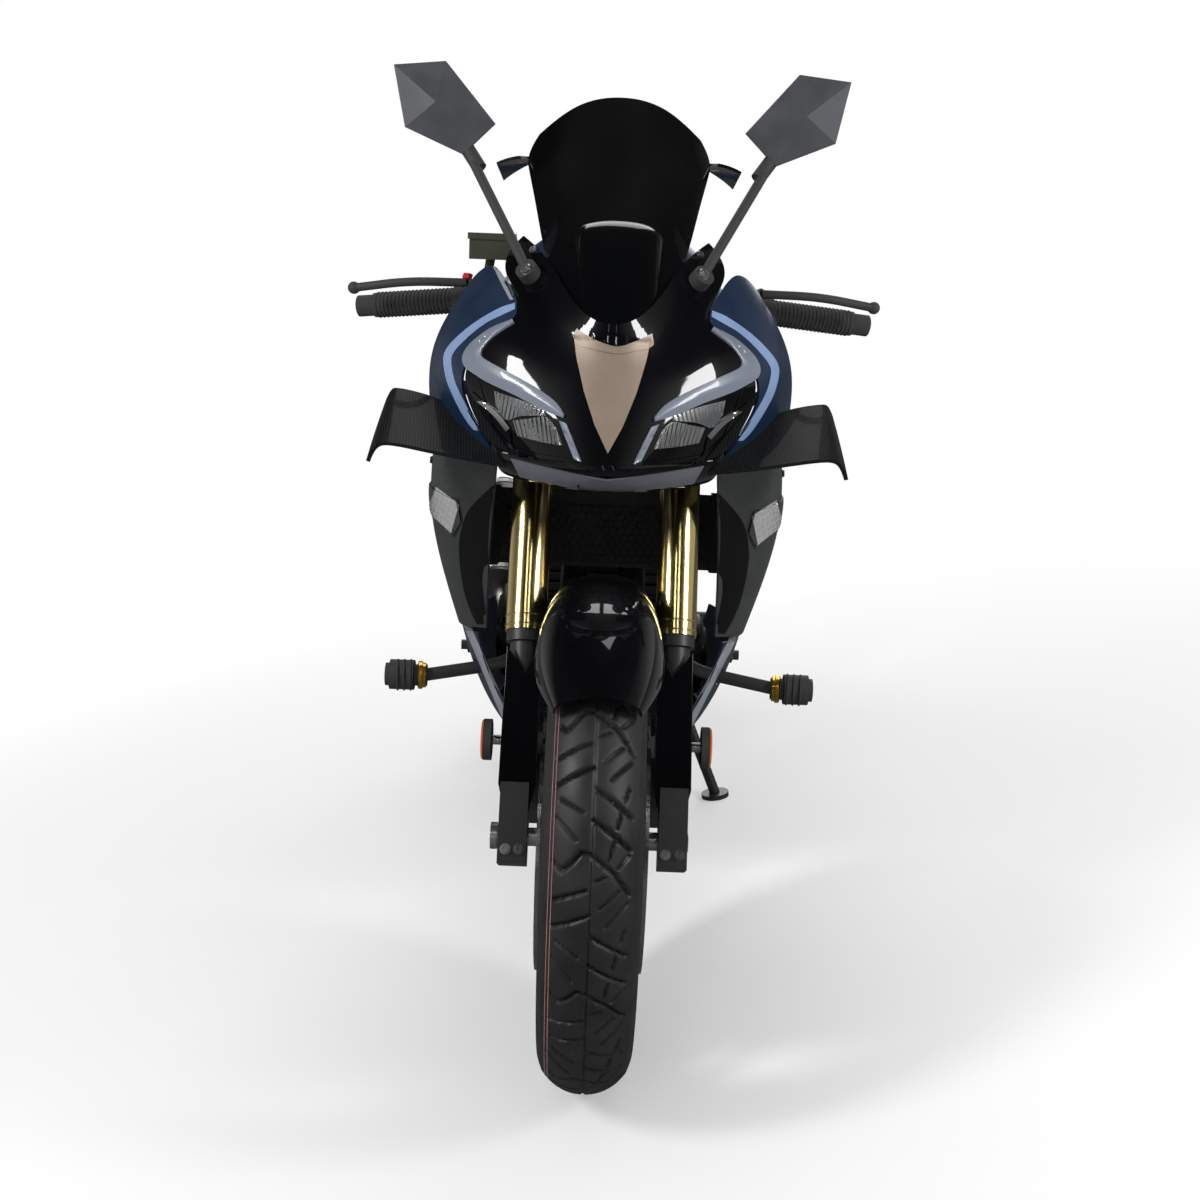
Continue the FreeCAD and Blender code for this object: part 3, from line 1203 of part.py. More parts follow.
def build_rear():
    """Swingarm, shock, wheel guard, plate carrier and tail lamp."""
    pivot_y, pivot_z = size("pivot_y"), size("pivot_height")
    arms = []
    inner, width = size("swingarm_inner"), size("swingarm_width")
    for side in SIDES:
        name = "left" if side == LEFT else "right"
        outline = [(936, 445), (936, 372), (1150, 330), (1430, 284), (1432, 344), (1150, 392)]
        low = float(inner) if side == LEFT else -float(inner) - float(width)
        arms.append(feature(f"arm_{name}", prism(outline, low, low + float(width), "x")))
    bridge = box("arm_bridge", (2 * float(inner) + 10, 70, 58), (0, 980, 380))
    ear_out = float(size("pivot_plate_inner")) - float(GAP)
    ears = [box(f"arm_ear_{side + 1}", (ear_out - 68, 110, 40), (side * (ear_out + 68) / 2, 900, 405))
            for side in SIDES]
    axle_half = inner + width + 10
    axle = cross_cylinder("rear_axle_shaft", size("axle_radius"), axle_half, (0, REAR_AXLE_Y, REAR_AXLE_HEIGHT))
    bore = cross_cylinder("rear_axle_bore", size("axle_bore"), axle_half + 20, (0, REAR_AXLE_Y, REAR_AXLE_HEIGHT))
    cheeks = [box(f"shock_cheek_{side + 1}", (8, 40, 64), (side * 17.3, SHOCK_LOW[1], 428)) for side in SIDES]
    shock_pin = cross_cylinder("shock_pin", size("shock_pin_radius"), 24, SHOCK_LOW)
    guard_clear = feature("hugger_clear", skin(both_halves(hugger_rows()), -GAP, 14))
    posts = [rod(f"hugger_post_{side + 1}", (side * 30, 1000, 396), (side * 26, 1081, 451), 6) for side in SIDES]
    guard_posts = [cut(f"{post.Name}_cut", post, guard_clear) for post in posts]
    solid = fuse("swingarm_join", arms + ears + cheeks + guard_posts + [bridge, axle, shock_pin])
    threads = fuse("paddock_threads", [
        cross_cylinder(f"paddock_thread_{side + 1}", size("paddock_thread_radius"), 14,
                       (side * (inner + width), 1330, 322)) for side in SIDES])
    pivot_hole = cross_cylinder("pivot_hole", size("pivot_shaft_radius") + 0.05, 200, (0, pivot_y, pivot_z))
    node("swingarm", cut("swingarm", solid, fuse("swingarm_tools", [bore, threads, pivot_hole])))

    low, high = Vector(*SHOCK_LOW), Vector(*SHOCK_TOP)
    direction = Vector(high - low).normalize()
    length = (high - low).Length
    pieces = [cross_cylinder("shock_eye_low", 15, 13, SHOCK_LOW), cross_cylinder("shock_eye_high", 20, 15, SHOCK_TOP),
              rod("shock_shaft", SHOCK_LOW, SHOCK_TOP, 9),
              rod("shock_core", tuple(low + direction * 34), tuple(high - direction * 34), 29)]
    for end, spot in (("low", low + direction * 28), ("high", high - direction * 38)):
        pieces.append(rod(f"shock_cap_{end}", tuple(spot), tuple(spot + direction * 10), 38))
    turns = 9
    pitch = (length - 92) / (turns - 1)
    for turn in range(turns):
        ring = DOC.addObject("Part::Torus", f"shock_coil_{turn}")
        ring.Radius1, ring.Radius2 = 31, 5.5
        ring.Placement = Placement(low + direction * (46 + turn * pitch), Rotation(Vector(0, 0, 1), direction))
        pieces.append(ring)
    pins = fuse("shock_pin_holes", [
        cross_cylinder("shock_hole_low", size("shock_pin_radius") + 0.05, 60, SHOCK_LOW),
        cross_cylinder("shock_hole_high", size("brace_radius") + 0.05, 60, SHOCK_TOP)])
    node("rear_shock", cut("rear_shock", fuse("shock_join", pieces), pins))

    node("rear_hugger", feature("rear_hugger", skin(both_halves(hugger_rows()), 0, WALL)))

    start = TAIL[-1][0] + float(GAP)
    lamp = hull([(start, [(0, 1008), (34, 1004), (48, 992), (38, 970), (0, 963)]),
                 (start + 13, [(0, 1002), (28, 999), (40, 990), (32, 975), (0, 970)])])
    node("tail_light", feature("tail_light", lamp))
    arm = tube("plate_arm", [(0, 1480, 960), (0, 1560, 842), (0, 1654, 728)], 16, 60)
    arm_cut = cut("plate_arm_cut", arm, feature("plate_clear", hull(grown(TAIL))))
    tilt = Rotation(Vector(1, 0, 0), 18)
    backing = box("plate_backing", (190, 4, 130), PLATE_MIDDLE, tilt)
    holes = []
    spacing = size("plate_hole_spacing")
    for side in SIDES:
        middle = tilt.multVec(Vector(side * float(spacing) / 2, -10, 40)) + Vector(*PLATE_MIDDLE)
        holes.append(cylinder(f"plate_hole_{side + 1}", size("plate_hole_radius"), 20, tuple(middle),
                              tilt.multiply(AXIS_Y)))
    bar = cross_cylinder("signal_bar", 6, SIGNAL_BAR_HALF, (0, 1604, 792))
    solid = fuse("plate_join", [arm_cut, backing, bar])
    node("plate_bracket", cut("plate_bracket", solid, fuse("plate_holes", holes)))


def build_small_parts():
    """Crash bobbins, foot controls, screen blades, dash and turn signals."""
    anchor = rod("slider_anchor", (118, 470 - float(GAP), 402), (118, 438, 402), 9)
    arm = tube("slider_tube", [(118, 462, 402), tuple(SLIDER_BEND), tuple(SLIDER_TIP)], 9, 60)
    end = SLIDER_TIP + Vector(12, -1, 0)
    collar = rod("slider_collar", tuple(SLIDER_TIP - Vector(6, 0, 0)), tuple(end), 15)
    bobbin = rod("slider_bobbin", tuple(end), tuple(end + Vector(34, 0, 0)), 21)
    tip = rod("slider_tip", tuple(end + Vector(34, 0, 0)), tuple(end + Vector(40, 0, 0)), 16)
    slider = fuse("slider_join", [anchor, arm, collar, bobbin, tip])
    node("crash_sliders", pair("crash_sliders", slider))

    plate_face = float(size("pivot_plate_inner")) + float(size("pivot_plate_wall")) + float(GAP)
    outline = [(834, 452), (900, 430), (896, 350), (846, 336), (826, 400)]
    hanger = feature("hanger_left", prism(outline, plate_face, plate_face + 8, "x"))
    peg = rod("peg_left", (plate_face + 4, 876, 366), (232, 876, 366), 11)
    boss = rod("pedal_boss_left", (plate_face + 4, 850, 352), (plate_face + 20, 850, 352), 10)
    pedal = tube("pedal_left", [(plate_face + 12, 850, 352), (196, 842, 350), (206, 742, 338)], 6, 60)
    pad = rod("pedal_pad_left", (198, 740, 338), (226, 740, 338), 8)
    node("rearsets", pair("rearsets", fuse("rearset_left", [hanger, peg, boss, pedal, pad])))

    blade_rows = [[(100, 286, 1088), (130, 296, 1092), (156, 318, 1080)],
                  [(104, 330, 1092), (134, 346, 1088), (156, 372, 1074)],
                  [(106, 366, 1090), (136, 392, 1078), (154, 418, 1064)]]
    screen_edge = skin(both_halves(SCREEN_NET), -3 - float(GAP), 30)
    blade = feature("blade_left", largest(skin(blade_rows, 0, 4).cut(screen_edge)))
    node("screen_blades", pair("screen_blades", blade))

    dash = box("dash_case", (128, 30, 78), (0, 200, 976), Rotation(Vector(1, 0, 0), -28))
    socket = rod("dash_foot", (0, 172, 840), (0, 192, 950), 9)
    below = tube("dash_clear", [(0, 272, 812), (0, 196, 842), (0, 120, 856)], size("brace_radius") - 2 + GAP, 60)
    floor = box("dash_floor", (60, 80, 60), (0, 172, 816))
    foot = cut("dash_foot_cut", socket, fuse("dash_tools", [below, floor]))
    node("instrument_panel", fuse("instrument_panel", [dash, foot]))

    lens = largest(skin(mid_rows(), -3, 12).common(prism(shrunk(SIGNAL_OUTLINE, SEAM), 60, 420, "y")))
    node("front_signals", pair("front_signals", feature("signal_left", lens)))
    rear_lens = rod("rear_signal_lens", (SIGNAL_BAR_HALF + float(GAP), 1604, 792), (128, 1604, 790), 14)
    node("rear_signals", pair("rear_signals", rear_lens))


def build_stand():
    """Side stand with a flat foot that meets the leaned ground."""
    x, y, z = size("stand_pivot_x"), size("stand_pivot_y"), size("stand_pivot_height")
    foot_x, foot_y = float(size("stand_foot_x")), float(size("stand_foot_y"))
    thickness = float(size("stand_foot_thickness"))
    lean = math.radians(LEAN)
    ground = (foot_x * math.sin(lean) - float(GROUND_DROP)) / math.cos(lean)
    up = Vector(-math.sin(lean), 0, math.cos(lean))
    base = Vector(foot_x, foot_y, ground)
    foot = cylinder("stand_foot", size("stand_foot_radius"), thickness, tuple(base), Rotation(Vector(0, 0, 1), up))
    ankle = base + up * (thickness - 1)
    leg = rod("stand_leg", (float(x) + 3, float(y), float(z) - 32), tuple(ankle), size("stand_leg_radius"))
    shank = box("stand_shank", (2 * STAND_EYE_HALF, 24, 34), (x, y, z - 23))
    eye = cross_cylinder("stand_eye", 17, STAND_EYE_HALF, (x, y, z))
    hole = cross_cylinder("stand_hole", size("stand_pin_radius") + 0.05, 40, (x, y, z))
    node("side_stand", cut("side_stand", fuse("stand_join", [foot, leg, shank, eye]), hole))


def build_all():
    """Every sub-part in the bike's upright frame."""
    build_wheels()
    build_fork()
    build_controls()
    build_reservoir()
    build_front_mudguard()
    build_brakes()
    build_reflectors()
    build_frame()
    build_engine()
    build_exhaust()
    build_tank_and_seats()
    build_fairing()
    build_mirrors()
    build_chain()
    build_rear()
    build_small_parts()
    build_stand()


def check_document():
    """Stop if any object failed or any sub-part has no valid shape."""
    for item in DOC.Objects:
        if "Invalid" in item.State or "Error" in item.State:
            raise RuntimeError(f"{item.Name} failed: {item.State}")
    for label, (item, _) in NODES.items():
        if item.Shape.isNull() or not item.Shape.isValid() or not item.Shape.Solids:
            raise RuntimeError(f"{label} has no valid solid")


def stance():
    """Lean the bike onto its stand and stand it on the middle of its box."""
    leaned = Placement(Vector(0, 0, 0), Rotation(Vector(0, 1, 0), float(LEAN)))
    box_all = FreeCAD.BoundBox()
    for item, frame in NODES.values():
        item.Placement = leaned.multiply(frame)
    DOC.recompute()
    for item, _ in NODES.values():
        box_all.add(item.Shape.optimalBoundingBox(True, False))
    shift = Vector(-box_all.Center.x, -box_all.Center.y, -box_all.ZMin)
    final = Placement(shift, leaned.Rotation)
    for item, frame in NODES.values():
        item.Placement = final.multiply(frame)
    DOC.recompute()
    return final


build_all()
DOC.recompute()
STANCE = stance()
check_document()
os.makedirs("parts", exist_ok=True)
for label, (item, _) in NODES.items():
    item.Shape.exportStep(f"parts/{label}.step")
print(len(NODES), "sub-parts, stance", STANCE)
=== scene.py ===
"""Looks of the leaning sport bike: finishes, treads, seats, lamps and trim round the fixed frame."""

from __future__ import annotations

import json
import logging
import math
from dataclasses import dataclass, fields
from enum import Enum
from functools import lru_cache
from typing import Callable, Sequence

import bmesh
import bpy
import numpy as np
from mathutils import Matrix, Vector
from mathutils.bvhtree import BVHTree


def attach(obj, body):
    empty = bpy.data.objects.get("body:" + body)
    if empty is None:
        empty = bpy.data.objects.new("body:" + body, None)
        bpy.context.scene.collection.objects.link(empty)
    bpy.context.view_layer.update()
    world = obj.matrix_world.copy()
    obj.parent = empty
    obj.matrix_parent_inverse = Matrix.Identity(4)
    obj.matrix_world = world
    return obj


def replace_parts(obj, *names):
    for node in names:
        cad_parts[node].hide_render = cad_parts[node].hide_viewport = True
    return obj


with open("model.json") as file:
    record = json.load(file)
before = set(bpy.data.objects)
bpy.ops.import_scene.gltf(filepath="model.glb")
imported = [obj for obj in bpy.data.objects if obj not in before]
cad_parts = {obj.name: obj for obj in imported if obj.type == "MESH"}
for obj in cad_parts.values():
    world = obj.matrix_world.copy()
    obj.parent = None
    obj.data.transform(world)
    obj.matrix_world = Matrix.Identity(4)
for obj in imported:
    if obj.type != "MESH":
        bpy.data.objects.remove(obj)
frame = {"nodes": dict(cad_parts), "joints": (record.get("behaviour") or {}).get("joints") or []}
LOG = logging.getLogger("scene")

Point = tuple[float, float, float]
Pair = tuple[float, float]
Pixel = Pair
Colour = tuple[float, float, float]


class Body(str, Enum):
    """The rigid groups that pieces ride on."""

    CHASSIS = "chassis"
    STEERING = "steering"
    FRONT = "front_wheel_set"
    REAR = "rear_wheel_set"


class Side(Enum):
    """The rider's left is +X in the upright bike."""

    LEFT = 1
    RIGHT = -1


def joint(name: str) -> dict:
    """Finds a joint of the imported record.

    Args:
        name: the joint's name.

    Returns:
        The joint's entry.
    """
    return next(entry for entry in frame["joints"] if entry["name"] == name)


@dataclass(frozen=True)
class Stance:
    """The upright bike in millimetres from the ground under the front axle, and how it leans."""

    front_radius: float = 293.0
    rear_radius: float = 314.243
    wheelbase: float = 1380.0
    rake: float = math.radians(25)

    @property
    def front_hub(self) -> Pair:
        """Gives the front axle's distance backward and its height."""
        return 0.0, self.front_radius

    @property
    def rear_hub(self) -> Pair:
        """Gives the rear axle's distance backward and its height."""
        return self.wheelbase, self.rear_radius

    def matrix(self) -> Matrix:
        """Gives the placement from upright millimetres to leaning metres.

        Returns:
            The placement.
        """
        spin = joint("front_wheel_spin")
        axle = Vector(spin["axis"])
        lean = Matrix.Rotation(math.atan2(-axle.z, axle.x), 4, "Y")
        hub = Vector((0, 0, self.front_radius / 1000))
        return Matrix.Translation(Vector(spin["pos_m"]) - lean @ hub) @ lean @ Matrix.Scale(0.001, 4)

    def fork(self, across: float, ahead: float, up: float) -> Vector:
        """Turns a point of the fork's own frame into the upright bike's frame.

        Args:
            across: distance to the left of the fork's middle.
            ahead: distance behind the line through the axle along the legs.
            up: distance up the legs from the axle.

        Returns:
            The point in millimetres.
        """
        back = ahead * math.cos(self.rake) + up * math.sin(self.rake)
        high = self.front_radius - ahead * math.sin(self.rake) + up * math.cos(self.rake)
        return Vector((across, back, high))

    def fork_up(self) -> Vector:
        """Gives the direction up the fork legs."""
        return Vector((0, math.sin(self.rake), math.cos(self.rake)))


STANCE = Stance()
PLACE = STANCE.matrix()
UPRIGHT = PLACE.inverted()


def put(name: str, data: bpy.types.ID) -> bpy.types.Object:
    """Puts a new object in the scene.

    Args:
        name: its name.
        data: its mesh, lamp or camera.

    Returns:
        The object.
    """
    made = bpy.data.objects.new(name, data)
    bpy.context.scene.collection.objects.link(made)
    return made


@dataclass(frozen=True)
class PhotoCamera:
    """The photograph's camera, in metres in the upright bike's frame."""

    picture: float = 1200.0
    spot: Point = (0.0, -1.85, 1.0)
    pitch_down: float = math.radians(12.6)
    roll: float = math.radians(2.25)
    focal: float = 1638.0
    middle: Pixel = (602.0, 600.0)
    sensor: float = 36.0
    near: float = 0.05

    def axes(self) -> tuple[Vector, Vector, Vector]:
        """Works out where the camera looks.

        Returns:
            Its right, up and forward directions in the upright bike's frame.
        """
        forward = Vector((0, math.cos(self.pitch_down), -math.sin(self.pitch_down)))
        level_up = Vector((0, math.sin(self.pitch_down), math.cos(self.pitch_down)))
        level_right = Vector((1, 0, 0))
        right = level_right * math.cos(self.roll) + level_up * math.sin(self.roll)
        up = level_up * math.cos(self.roll) - level_right * math.sin(self.roll)
        return right, up, forward

    def ray(self, pixel: Pixel) -> tuple[Vector, Vector]:
        """Follows a pixel of the photograph into the upright bike.

        Args:
            pixel: the place in the 1200 by 1200 picture.

        Returns:
            The ray's start in millimetres and its direction.
        """
        right, up, forward = self.axes()
        aside = (pixel[0] - self.middle[0]) / self.focal
        rise = (self.middle[1] - pixel[1]) / self.focal
        return Vector(self.spot) * 1000, (forward + right * aside + up * rise).normalized()

    def build(self) -> None:
        """Makes the scene's camera."""
        data = bpy.data.cameras.new("photo_camera")
        data.sensor_width = self.sensor
        data.lens = self.focal / self.picture * self.sensor
        data.shift_x = (self.picture / 2 - self.middle[0]) / self.picture
        data.shift_y = (self.middle[1] - self.picture / 2) / self.picture
        data.clip_start = self.near
        camera = put("photo_camera", data)
        right, up, forward = (PLACE.to_3x3().normalized() @ axis for axis in self.axes())
        turn = Matrix((right, up, -forward)).transposed().to_4x4()
        camera.matrix_world = Matrix.Translation(PLACE @ (Vector(self.spot) * 1000)) @ turn
        bpy.context.scene.camera = camera


PHOTO = PhotoCamera()


class Nodes:
    """Short forms for making shader nodes in one tree."""

    def __init__(self, tree: bpy.types.NodeTree) -> None:
        """Keeps the tree to work on."""
        self.tree = tree

    def add(self, kind: str, **settings: object) -> bpy.types.Node:
        """Adds a node and sets its properties.

        Args:
            kind: the node's type name.
            settings: properties and their values.

        Returns:
            The new node.
        """
        made = self.tree.nodes.new(kind)
        for key, value in settings.items():
            setattr(made, key, value)
        return made

    def link(self, source: bpy.types.NodeSocket, target: bpy.types.NodeSocket) -> None:
        """Joins two sockets."""
        self.tree.links.new(source, target)

    def feed(self, target: bpy.types.NodeSocket, value: object) -> None:
        """Links a socket to a socket, or sets its plain value.

        Args:
            target: the socket that takes it.
            value: a socket or a plain value.
        """
        if isinstance(value, bpy.types.NodeSocket):
            self.link(value, target)
        else:
            target.default_value = value

    def math(self, operation: str, *values: object, clamp: bool = False) -> bpy.types.NodeSocket:
        """Adds a math node.

        Args:
            operation: the node's operation.
            values: numbers or sockets for its inputs.
            clamp: whether the result is kept between 0 and 1.

        Returns:
            The result's socket.
        """
        made = self.add("ShaderNodeMath", operation=operation, use_clamp=clamp)
        for socket, value in zip(made.inputs, values):
            self.feed(socket, value)
        return made.outputs[0]

    def noise(self, place: bpy.types.NodeSocket, scale: object, detail: float = 3.0) -> bpy.types.NodeSocket:
        """Adds a noise texture.

        Args:
            place: the point that it is worked out at.
            scale: its scale, as a number or a socket.
            detail: how many finer layers it has.

        Returns:
            The value's socket.
        """
        made = self.add("ShaderNodeTexNoise")
        self.link(place, made.inputs["Vector"])
        self.feed(made.inputs["Scale"], scale)
        made.inputs["Detail"].default_value = detail
        return made.outputs[0]

    def mix(self, share: object, low: object, high: object) -> bpy.types.NodeSocket:
        """Mixes two colours.

        Args:
            share: how much of the second shows.
            low: the first colour or its socket.
            high: the second colour or its socket.

        Returns:
            The result's socket.
        """
        made = self.add("ShaderNodeMix", data_type="RGBA")
        self.feed(made.inputs[0], share)
        for socket, value in ((made.inputs[6], low), (made.inputs[7], high)):
            self.feed(socket, (*value, 1.0) if isinstance(value, tuple) else value)
        return made.outputs[2]

    def span(
        self, value: object, low: float, high: float, start: float = 0.0, end: float = 1.0
    ) -> bpy.types.NodeSocket:
        """Maps a value's range onto another, kept inside it.

        Args:
            value: the value or its socket.
            low: where the range starts.
            high: where the range ends.
            start: what its start becomes.
            end: what its end becomes.

        Returns:
            The result's socket.
        """
        made = self.add("ShaderNodeMapRange")
        for socket, entry in zip(made.inputs, (value, low, high, start, end)):
            self.feed(socket, entry)
        return made.outputs[0]


def effect(name: str, inputs: dict[str, float], outputs: Sequence[str], draw: Callable) -> bpy.types.NodeTree:
    """Builds one shared effect as a node group, or finds it if it's there.

    Args:
        name: the group's name.
        inputs: the names of its number inputs and their defaults.
        outputs: the names of its value outputs.
        draw: makes the nodes from a Nodes and the input sockets, and gives the output sockets.

    Returns:
        The group.
    """
    if name in bpy.data.node_groups:
        return bpy.data.node_groups[name]
    tree = bpy.data.node_groups.new(name, "ShaderNodeTree")
    for key, value in inputs.items():
        tree.interface.new_socket(key, in_out="INPUT", socket_type="NodeSocketFloat").default_value = value
    for key in outputs:
        tree.interface.new_socket(key, in_out="OUTPUT", socket_type="NodeSocketFloat")
    nodes = Nodes(tree)
    entry = nodes.add("NodeGroupInput")
    leave = nodes.add("NodeGroupOutput")
    results = draw(nodes, {key: entry.outputs[key] for key in inputs})
    for key, socket in zip(outputs, results):
        nodes.link(socket, leave.inputs[key])
    return tree


def object_place(nodes: Nodes) -> bpy.types.NodeSocket:
    """Gives the point on the surface in metres, fixed to the piece."""
    return nodes.add("ShaderNodeTexCoord").outputs["Object"]


def grain_group() -> bpy.types.NodeTree:
    """Moulded grain: fine height and broad variation.

    Returns:
        The group.
    """

    def draw(nodes: Nodes, given: dict) -> tuple:
        """Draws the grain.

        Args:
            nodes: the group's nodes.
            given: the group's input sockets by name.

        Returns:
            The sockets of the height and the broad tone.
        """
        place = object_place(nodes)
        fine = nodes.noise(place, given["Scale"], 4.0)
        broad = nodes.noise(place, nodes.math("MULTIPLY", given["Scale"], 0.012), 2.0)
        return fine, nodes.span(broad, 0.35, 0.65)

    return effect("moulded_grain", {"Scale": 1800.0}, ("Height", "Broad"), draw)


def wear_group() -> bpy.types.NodeTree:
    """Worn edges: a mask that rises where the surface turns sharply outward.

    Returns:
        The group.
    """

    def draw(nodes: Nodes, given: dict) -> tuple:
        """Draws the worn edges.

        Args:
            nodes: the group's nodes.
            given: the group's input sockets by name.

        Returns:
            The socket of the mask.
        """
        point = nodes.add("ShaderNodeNewGeometry").outputs["Pointiness"]
        edge = nodes.span(point, 0.52, 0.60)
        broken = nodes.span(nodes.noise(object_place(nodes), 140.0, 5.0), 0.42, 0.62)
        return (nodes.math("MULTIPLY", nodes.math("MULTIPLY", edge, broken), given["Amount"], clamp=True),)

    return effect("edge_wear", {"Amount": 0.5}, ("Mask",), draw)


def dust_group() -> bpy.types.NodeTree:
    """Thin dust that lies on faces that look up and in broad patches.

    Returns:
        The group.
    """

    def draw(nodes: Nodes, given: dict) -> tuple:
        """Draws the dust.

        Args:
            nodes: the group's nodes.
            given: the group's input sockets by name.

        Returns:
            The socket of the mask.
        """
        facing = nodes.add("ShaderNodeSeparateXYZ")
        nodes.link(nodes.add("ShaderNodeNewGeometry").outputs["Normal"], facing.inputs[0])
        up = nodes.span(facing.outputs[2], 0.1, 0.95, 0.25, 1.0)
        patch = nodes.span(nodes.noise(object_place(nodes), 26.0, 6.0), 0.38, 0.72)
        return (nodes.math("MULTIPLY", nodes.math("MULTIPLY", up, patch), given["Amount"], clamp=True),)

    return effect("settled_dust", {"Amount": 0.1}, ("Mask",), draw)


def twill_group() -> bpy.types.NodeTree:
    """Carbon twill: tows that pass over two and under two, with their height and tone.

    Returns:
        The group.
    """

    def draw(nodes: Nodes, given: dict) -> tuple:
        """Draws the weave.

        Args:
            nodes: the group's nodes.
            given: the group's input sockets by name.

        Returns:
            The sockets of the height and the tone.
        """
        parts = nodes.add("ShaderNodeSeparateXYZ")
        nodes.link(object_place(nodes), parts.inputs[0])
        rise = nodes.math("ADD", parts.outputs[1], parts.outputs[2])
        across = nodes.math("MULTIPLY", nodes.math("ADD", parts.outputs[0], rise), given["Tows"])
        along = nodes.math("MULTIPLY", nodes.math("SUBTRACT", parts.outputs[0], rise), given["Tows"])
        step = nodes.math("ADD", nodes.math("FLOOR", across), nodes.math("FLOOR", along))
        over = nodes.math("LESS_THAN", nodes.math("FLOORED_MODULO", step, 4.0), 1.5)
        warp = nodes.math("PINGPONG", across, 0.5)
        weft = nodes.math("PINGPONG", along, 0.5)
        under = nodes.math("SUBTRACT", 1.0, over)
        height = nodes.math("ADD", nodes.math("MULTIPLY", warp, over), nodes.math("MULTIPLY", weft, under))
        tone = nodes.math("MULTIPLY_ADD", over, 0.7, nodes.math("MULTIPLY", height, 0.6))
        return height, tone

    return effect("carbon_twill", {"Tows": 330.0}, ("Height", "Tone"), draw)


@dataclass(frozen=True)
class Finish:
    """One surface finish, made of paint, metal, plastic or rubber with grain, wear and dust."""

    name: str
    colour: Colour
    rough: float = 0.5
    metal: float = 0.0
    coat: float = 0.0
    specular: float = 0.5
    grain_scale: float = 1800.0
    grain_depth: float = 0.0
    rough_spread: float = 0.06
    tone_spread: float = 0.12
    wear: float = 0.0
    wear_colour: Colour = (0.30, 0.30, 0.31)
    dust: float = 0.05
    dust_colour: Colour = (0.22, 0.21, 0.20)
    coat_rough: float = 0.03
    coat_ior: float = 1.5

    def group(self, nodes: Nodes, tree: bpy.types.NodeTree, **values: float) -> bpy.types.Node:
        """Places a shared effect in the material.

        Args:
            nodes: the material's nodes.
            tree: the effect.
            values: the material's own values for its inputs.

        Returns:
            The group's node.
        """
        made = nodes.add("ShaderNodeGroup")
        made.node_tree = tree
        for key, value in values.items():
            made.inputs[key].default_value = value
        return made

    def base(self, nodes: Nodes, broad: bpy.types.NodeSocket) -> bpy.types.NodeSocket:
        """Gives the colour before wear and dust.

        Args:
            nodes: the material's nodes.
            broad: the socket of the broad tone.

        Returns:
            The colour's socket.
        """
        spread = self.tone_spread
        low = tuple(c * (1 - spread) for c in self.colour)
        high = tuple(min(1.0, c * (1 + spread)) for c in self.colour)
        return nodes.mix(broad, low, high)

    def height(self, nodes: Nodes, grain: bpy.types.Node) -> bpy.types.NodeSocket:
        """Gives the height that the bump is made from."""
        return grain.outputs["Height"]

    def material(self) -> bpy.types.Material:
        """Builds the material, or finds it if it's there.

        Returns:
            The material.
        """
        if self.name in bpy.data.materials:
            return bpy.data.materials[self.name]
        made = bpy.data.materials.new(self.name)
        made.use_nodes = True
        nodes = Nodes(made.node_tree)
        shader = made.node_tree.nodes["Principled BSDF"]
        grain = self.group(nodes, grain_group(), Scale=self.grain_scale)
        dust = self.group(nodes, dust_group(), Amount=self.dust)
        colour = self.base(nodes, grain.outputs["Broad"])
        if self.wear:
            wear = self.group(nodes, wear_group(), Amount=self.wear)
            colour = nodes.mix(wear.outputs["Mask"], colour, self.wear_colour)
        colour = nodes.mix(dust.outputs["Mask"], colour, self.dust_colour)
        nodes.link(colour, shader.inputs["Base Color"])
        low, high = max(0.02, self.rough - self.rough_spread), min(1.0, self.rough + self.rough_spread)
        dusty = nodes.math("MULTIPLY", dust.outputs["Mask"], 0.5)
        rough = nodes.math("ADD", nodes.span(grain.outputs["Broad"], 0.0, 1.0, low, high), dusty, clamp=True)
        nodes.link(rough, shader.inputs["Roughness"])
        if self.grain_depth:
            bump = nodes.add("ShaderNodeBump")
            bump.inputs["Distance"].default_value = self.grain_depth
            nodes.link(self.height(nodes, grain), bump.inputs["Height"])
            nodes.link(bump.outputs[0], shader.inputs["Normal"])
        plain = {"Metallic": self.metal, "Specular IOR Level": self.specular, "Coat Weight": self.coat,
                 "Coat Roughness": self.coat_rough, "Coat IOR": self.coat_ior}
        for key, value in plain.items():
            shader.inputs[key].default_value = value
        return made


@dataclass(frozen=True)
class Twill(Finish):
    """Clear coated carbon weave."""

    tows: float = 300.0
    light_tone: Colour = (0.055, 0.055, 0.06)

    def base(self, nodes: Nodes, broad: bpy.types.NodeSocket) -> bpy.types.NodeSocket:
        """Gives the weave's two tones."""
        weave = self.group(nodes, twill_group(), Tows=self.tows)
        return nodes.mix(weave.outputs["Tone"], self.colour, self.light_tone)

    def height(self, nodes: Nodes, grain: bpy.types.Node) -> bpy.types.NodeSocket:
        """Gives the tows' height."""
        return self.group(nodes, twill_group(), Tows=self.tows).outputs["Height"]


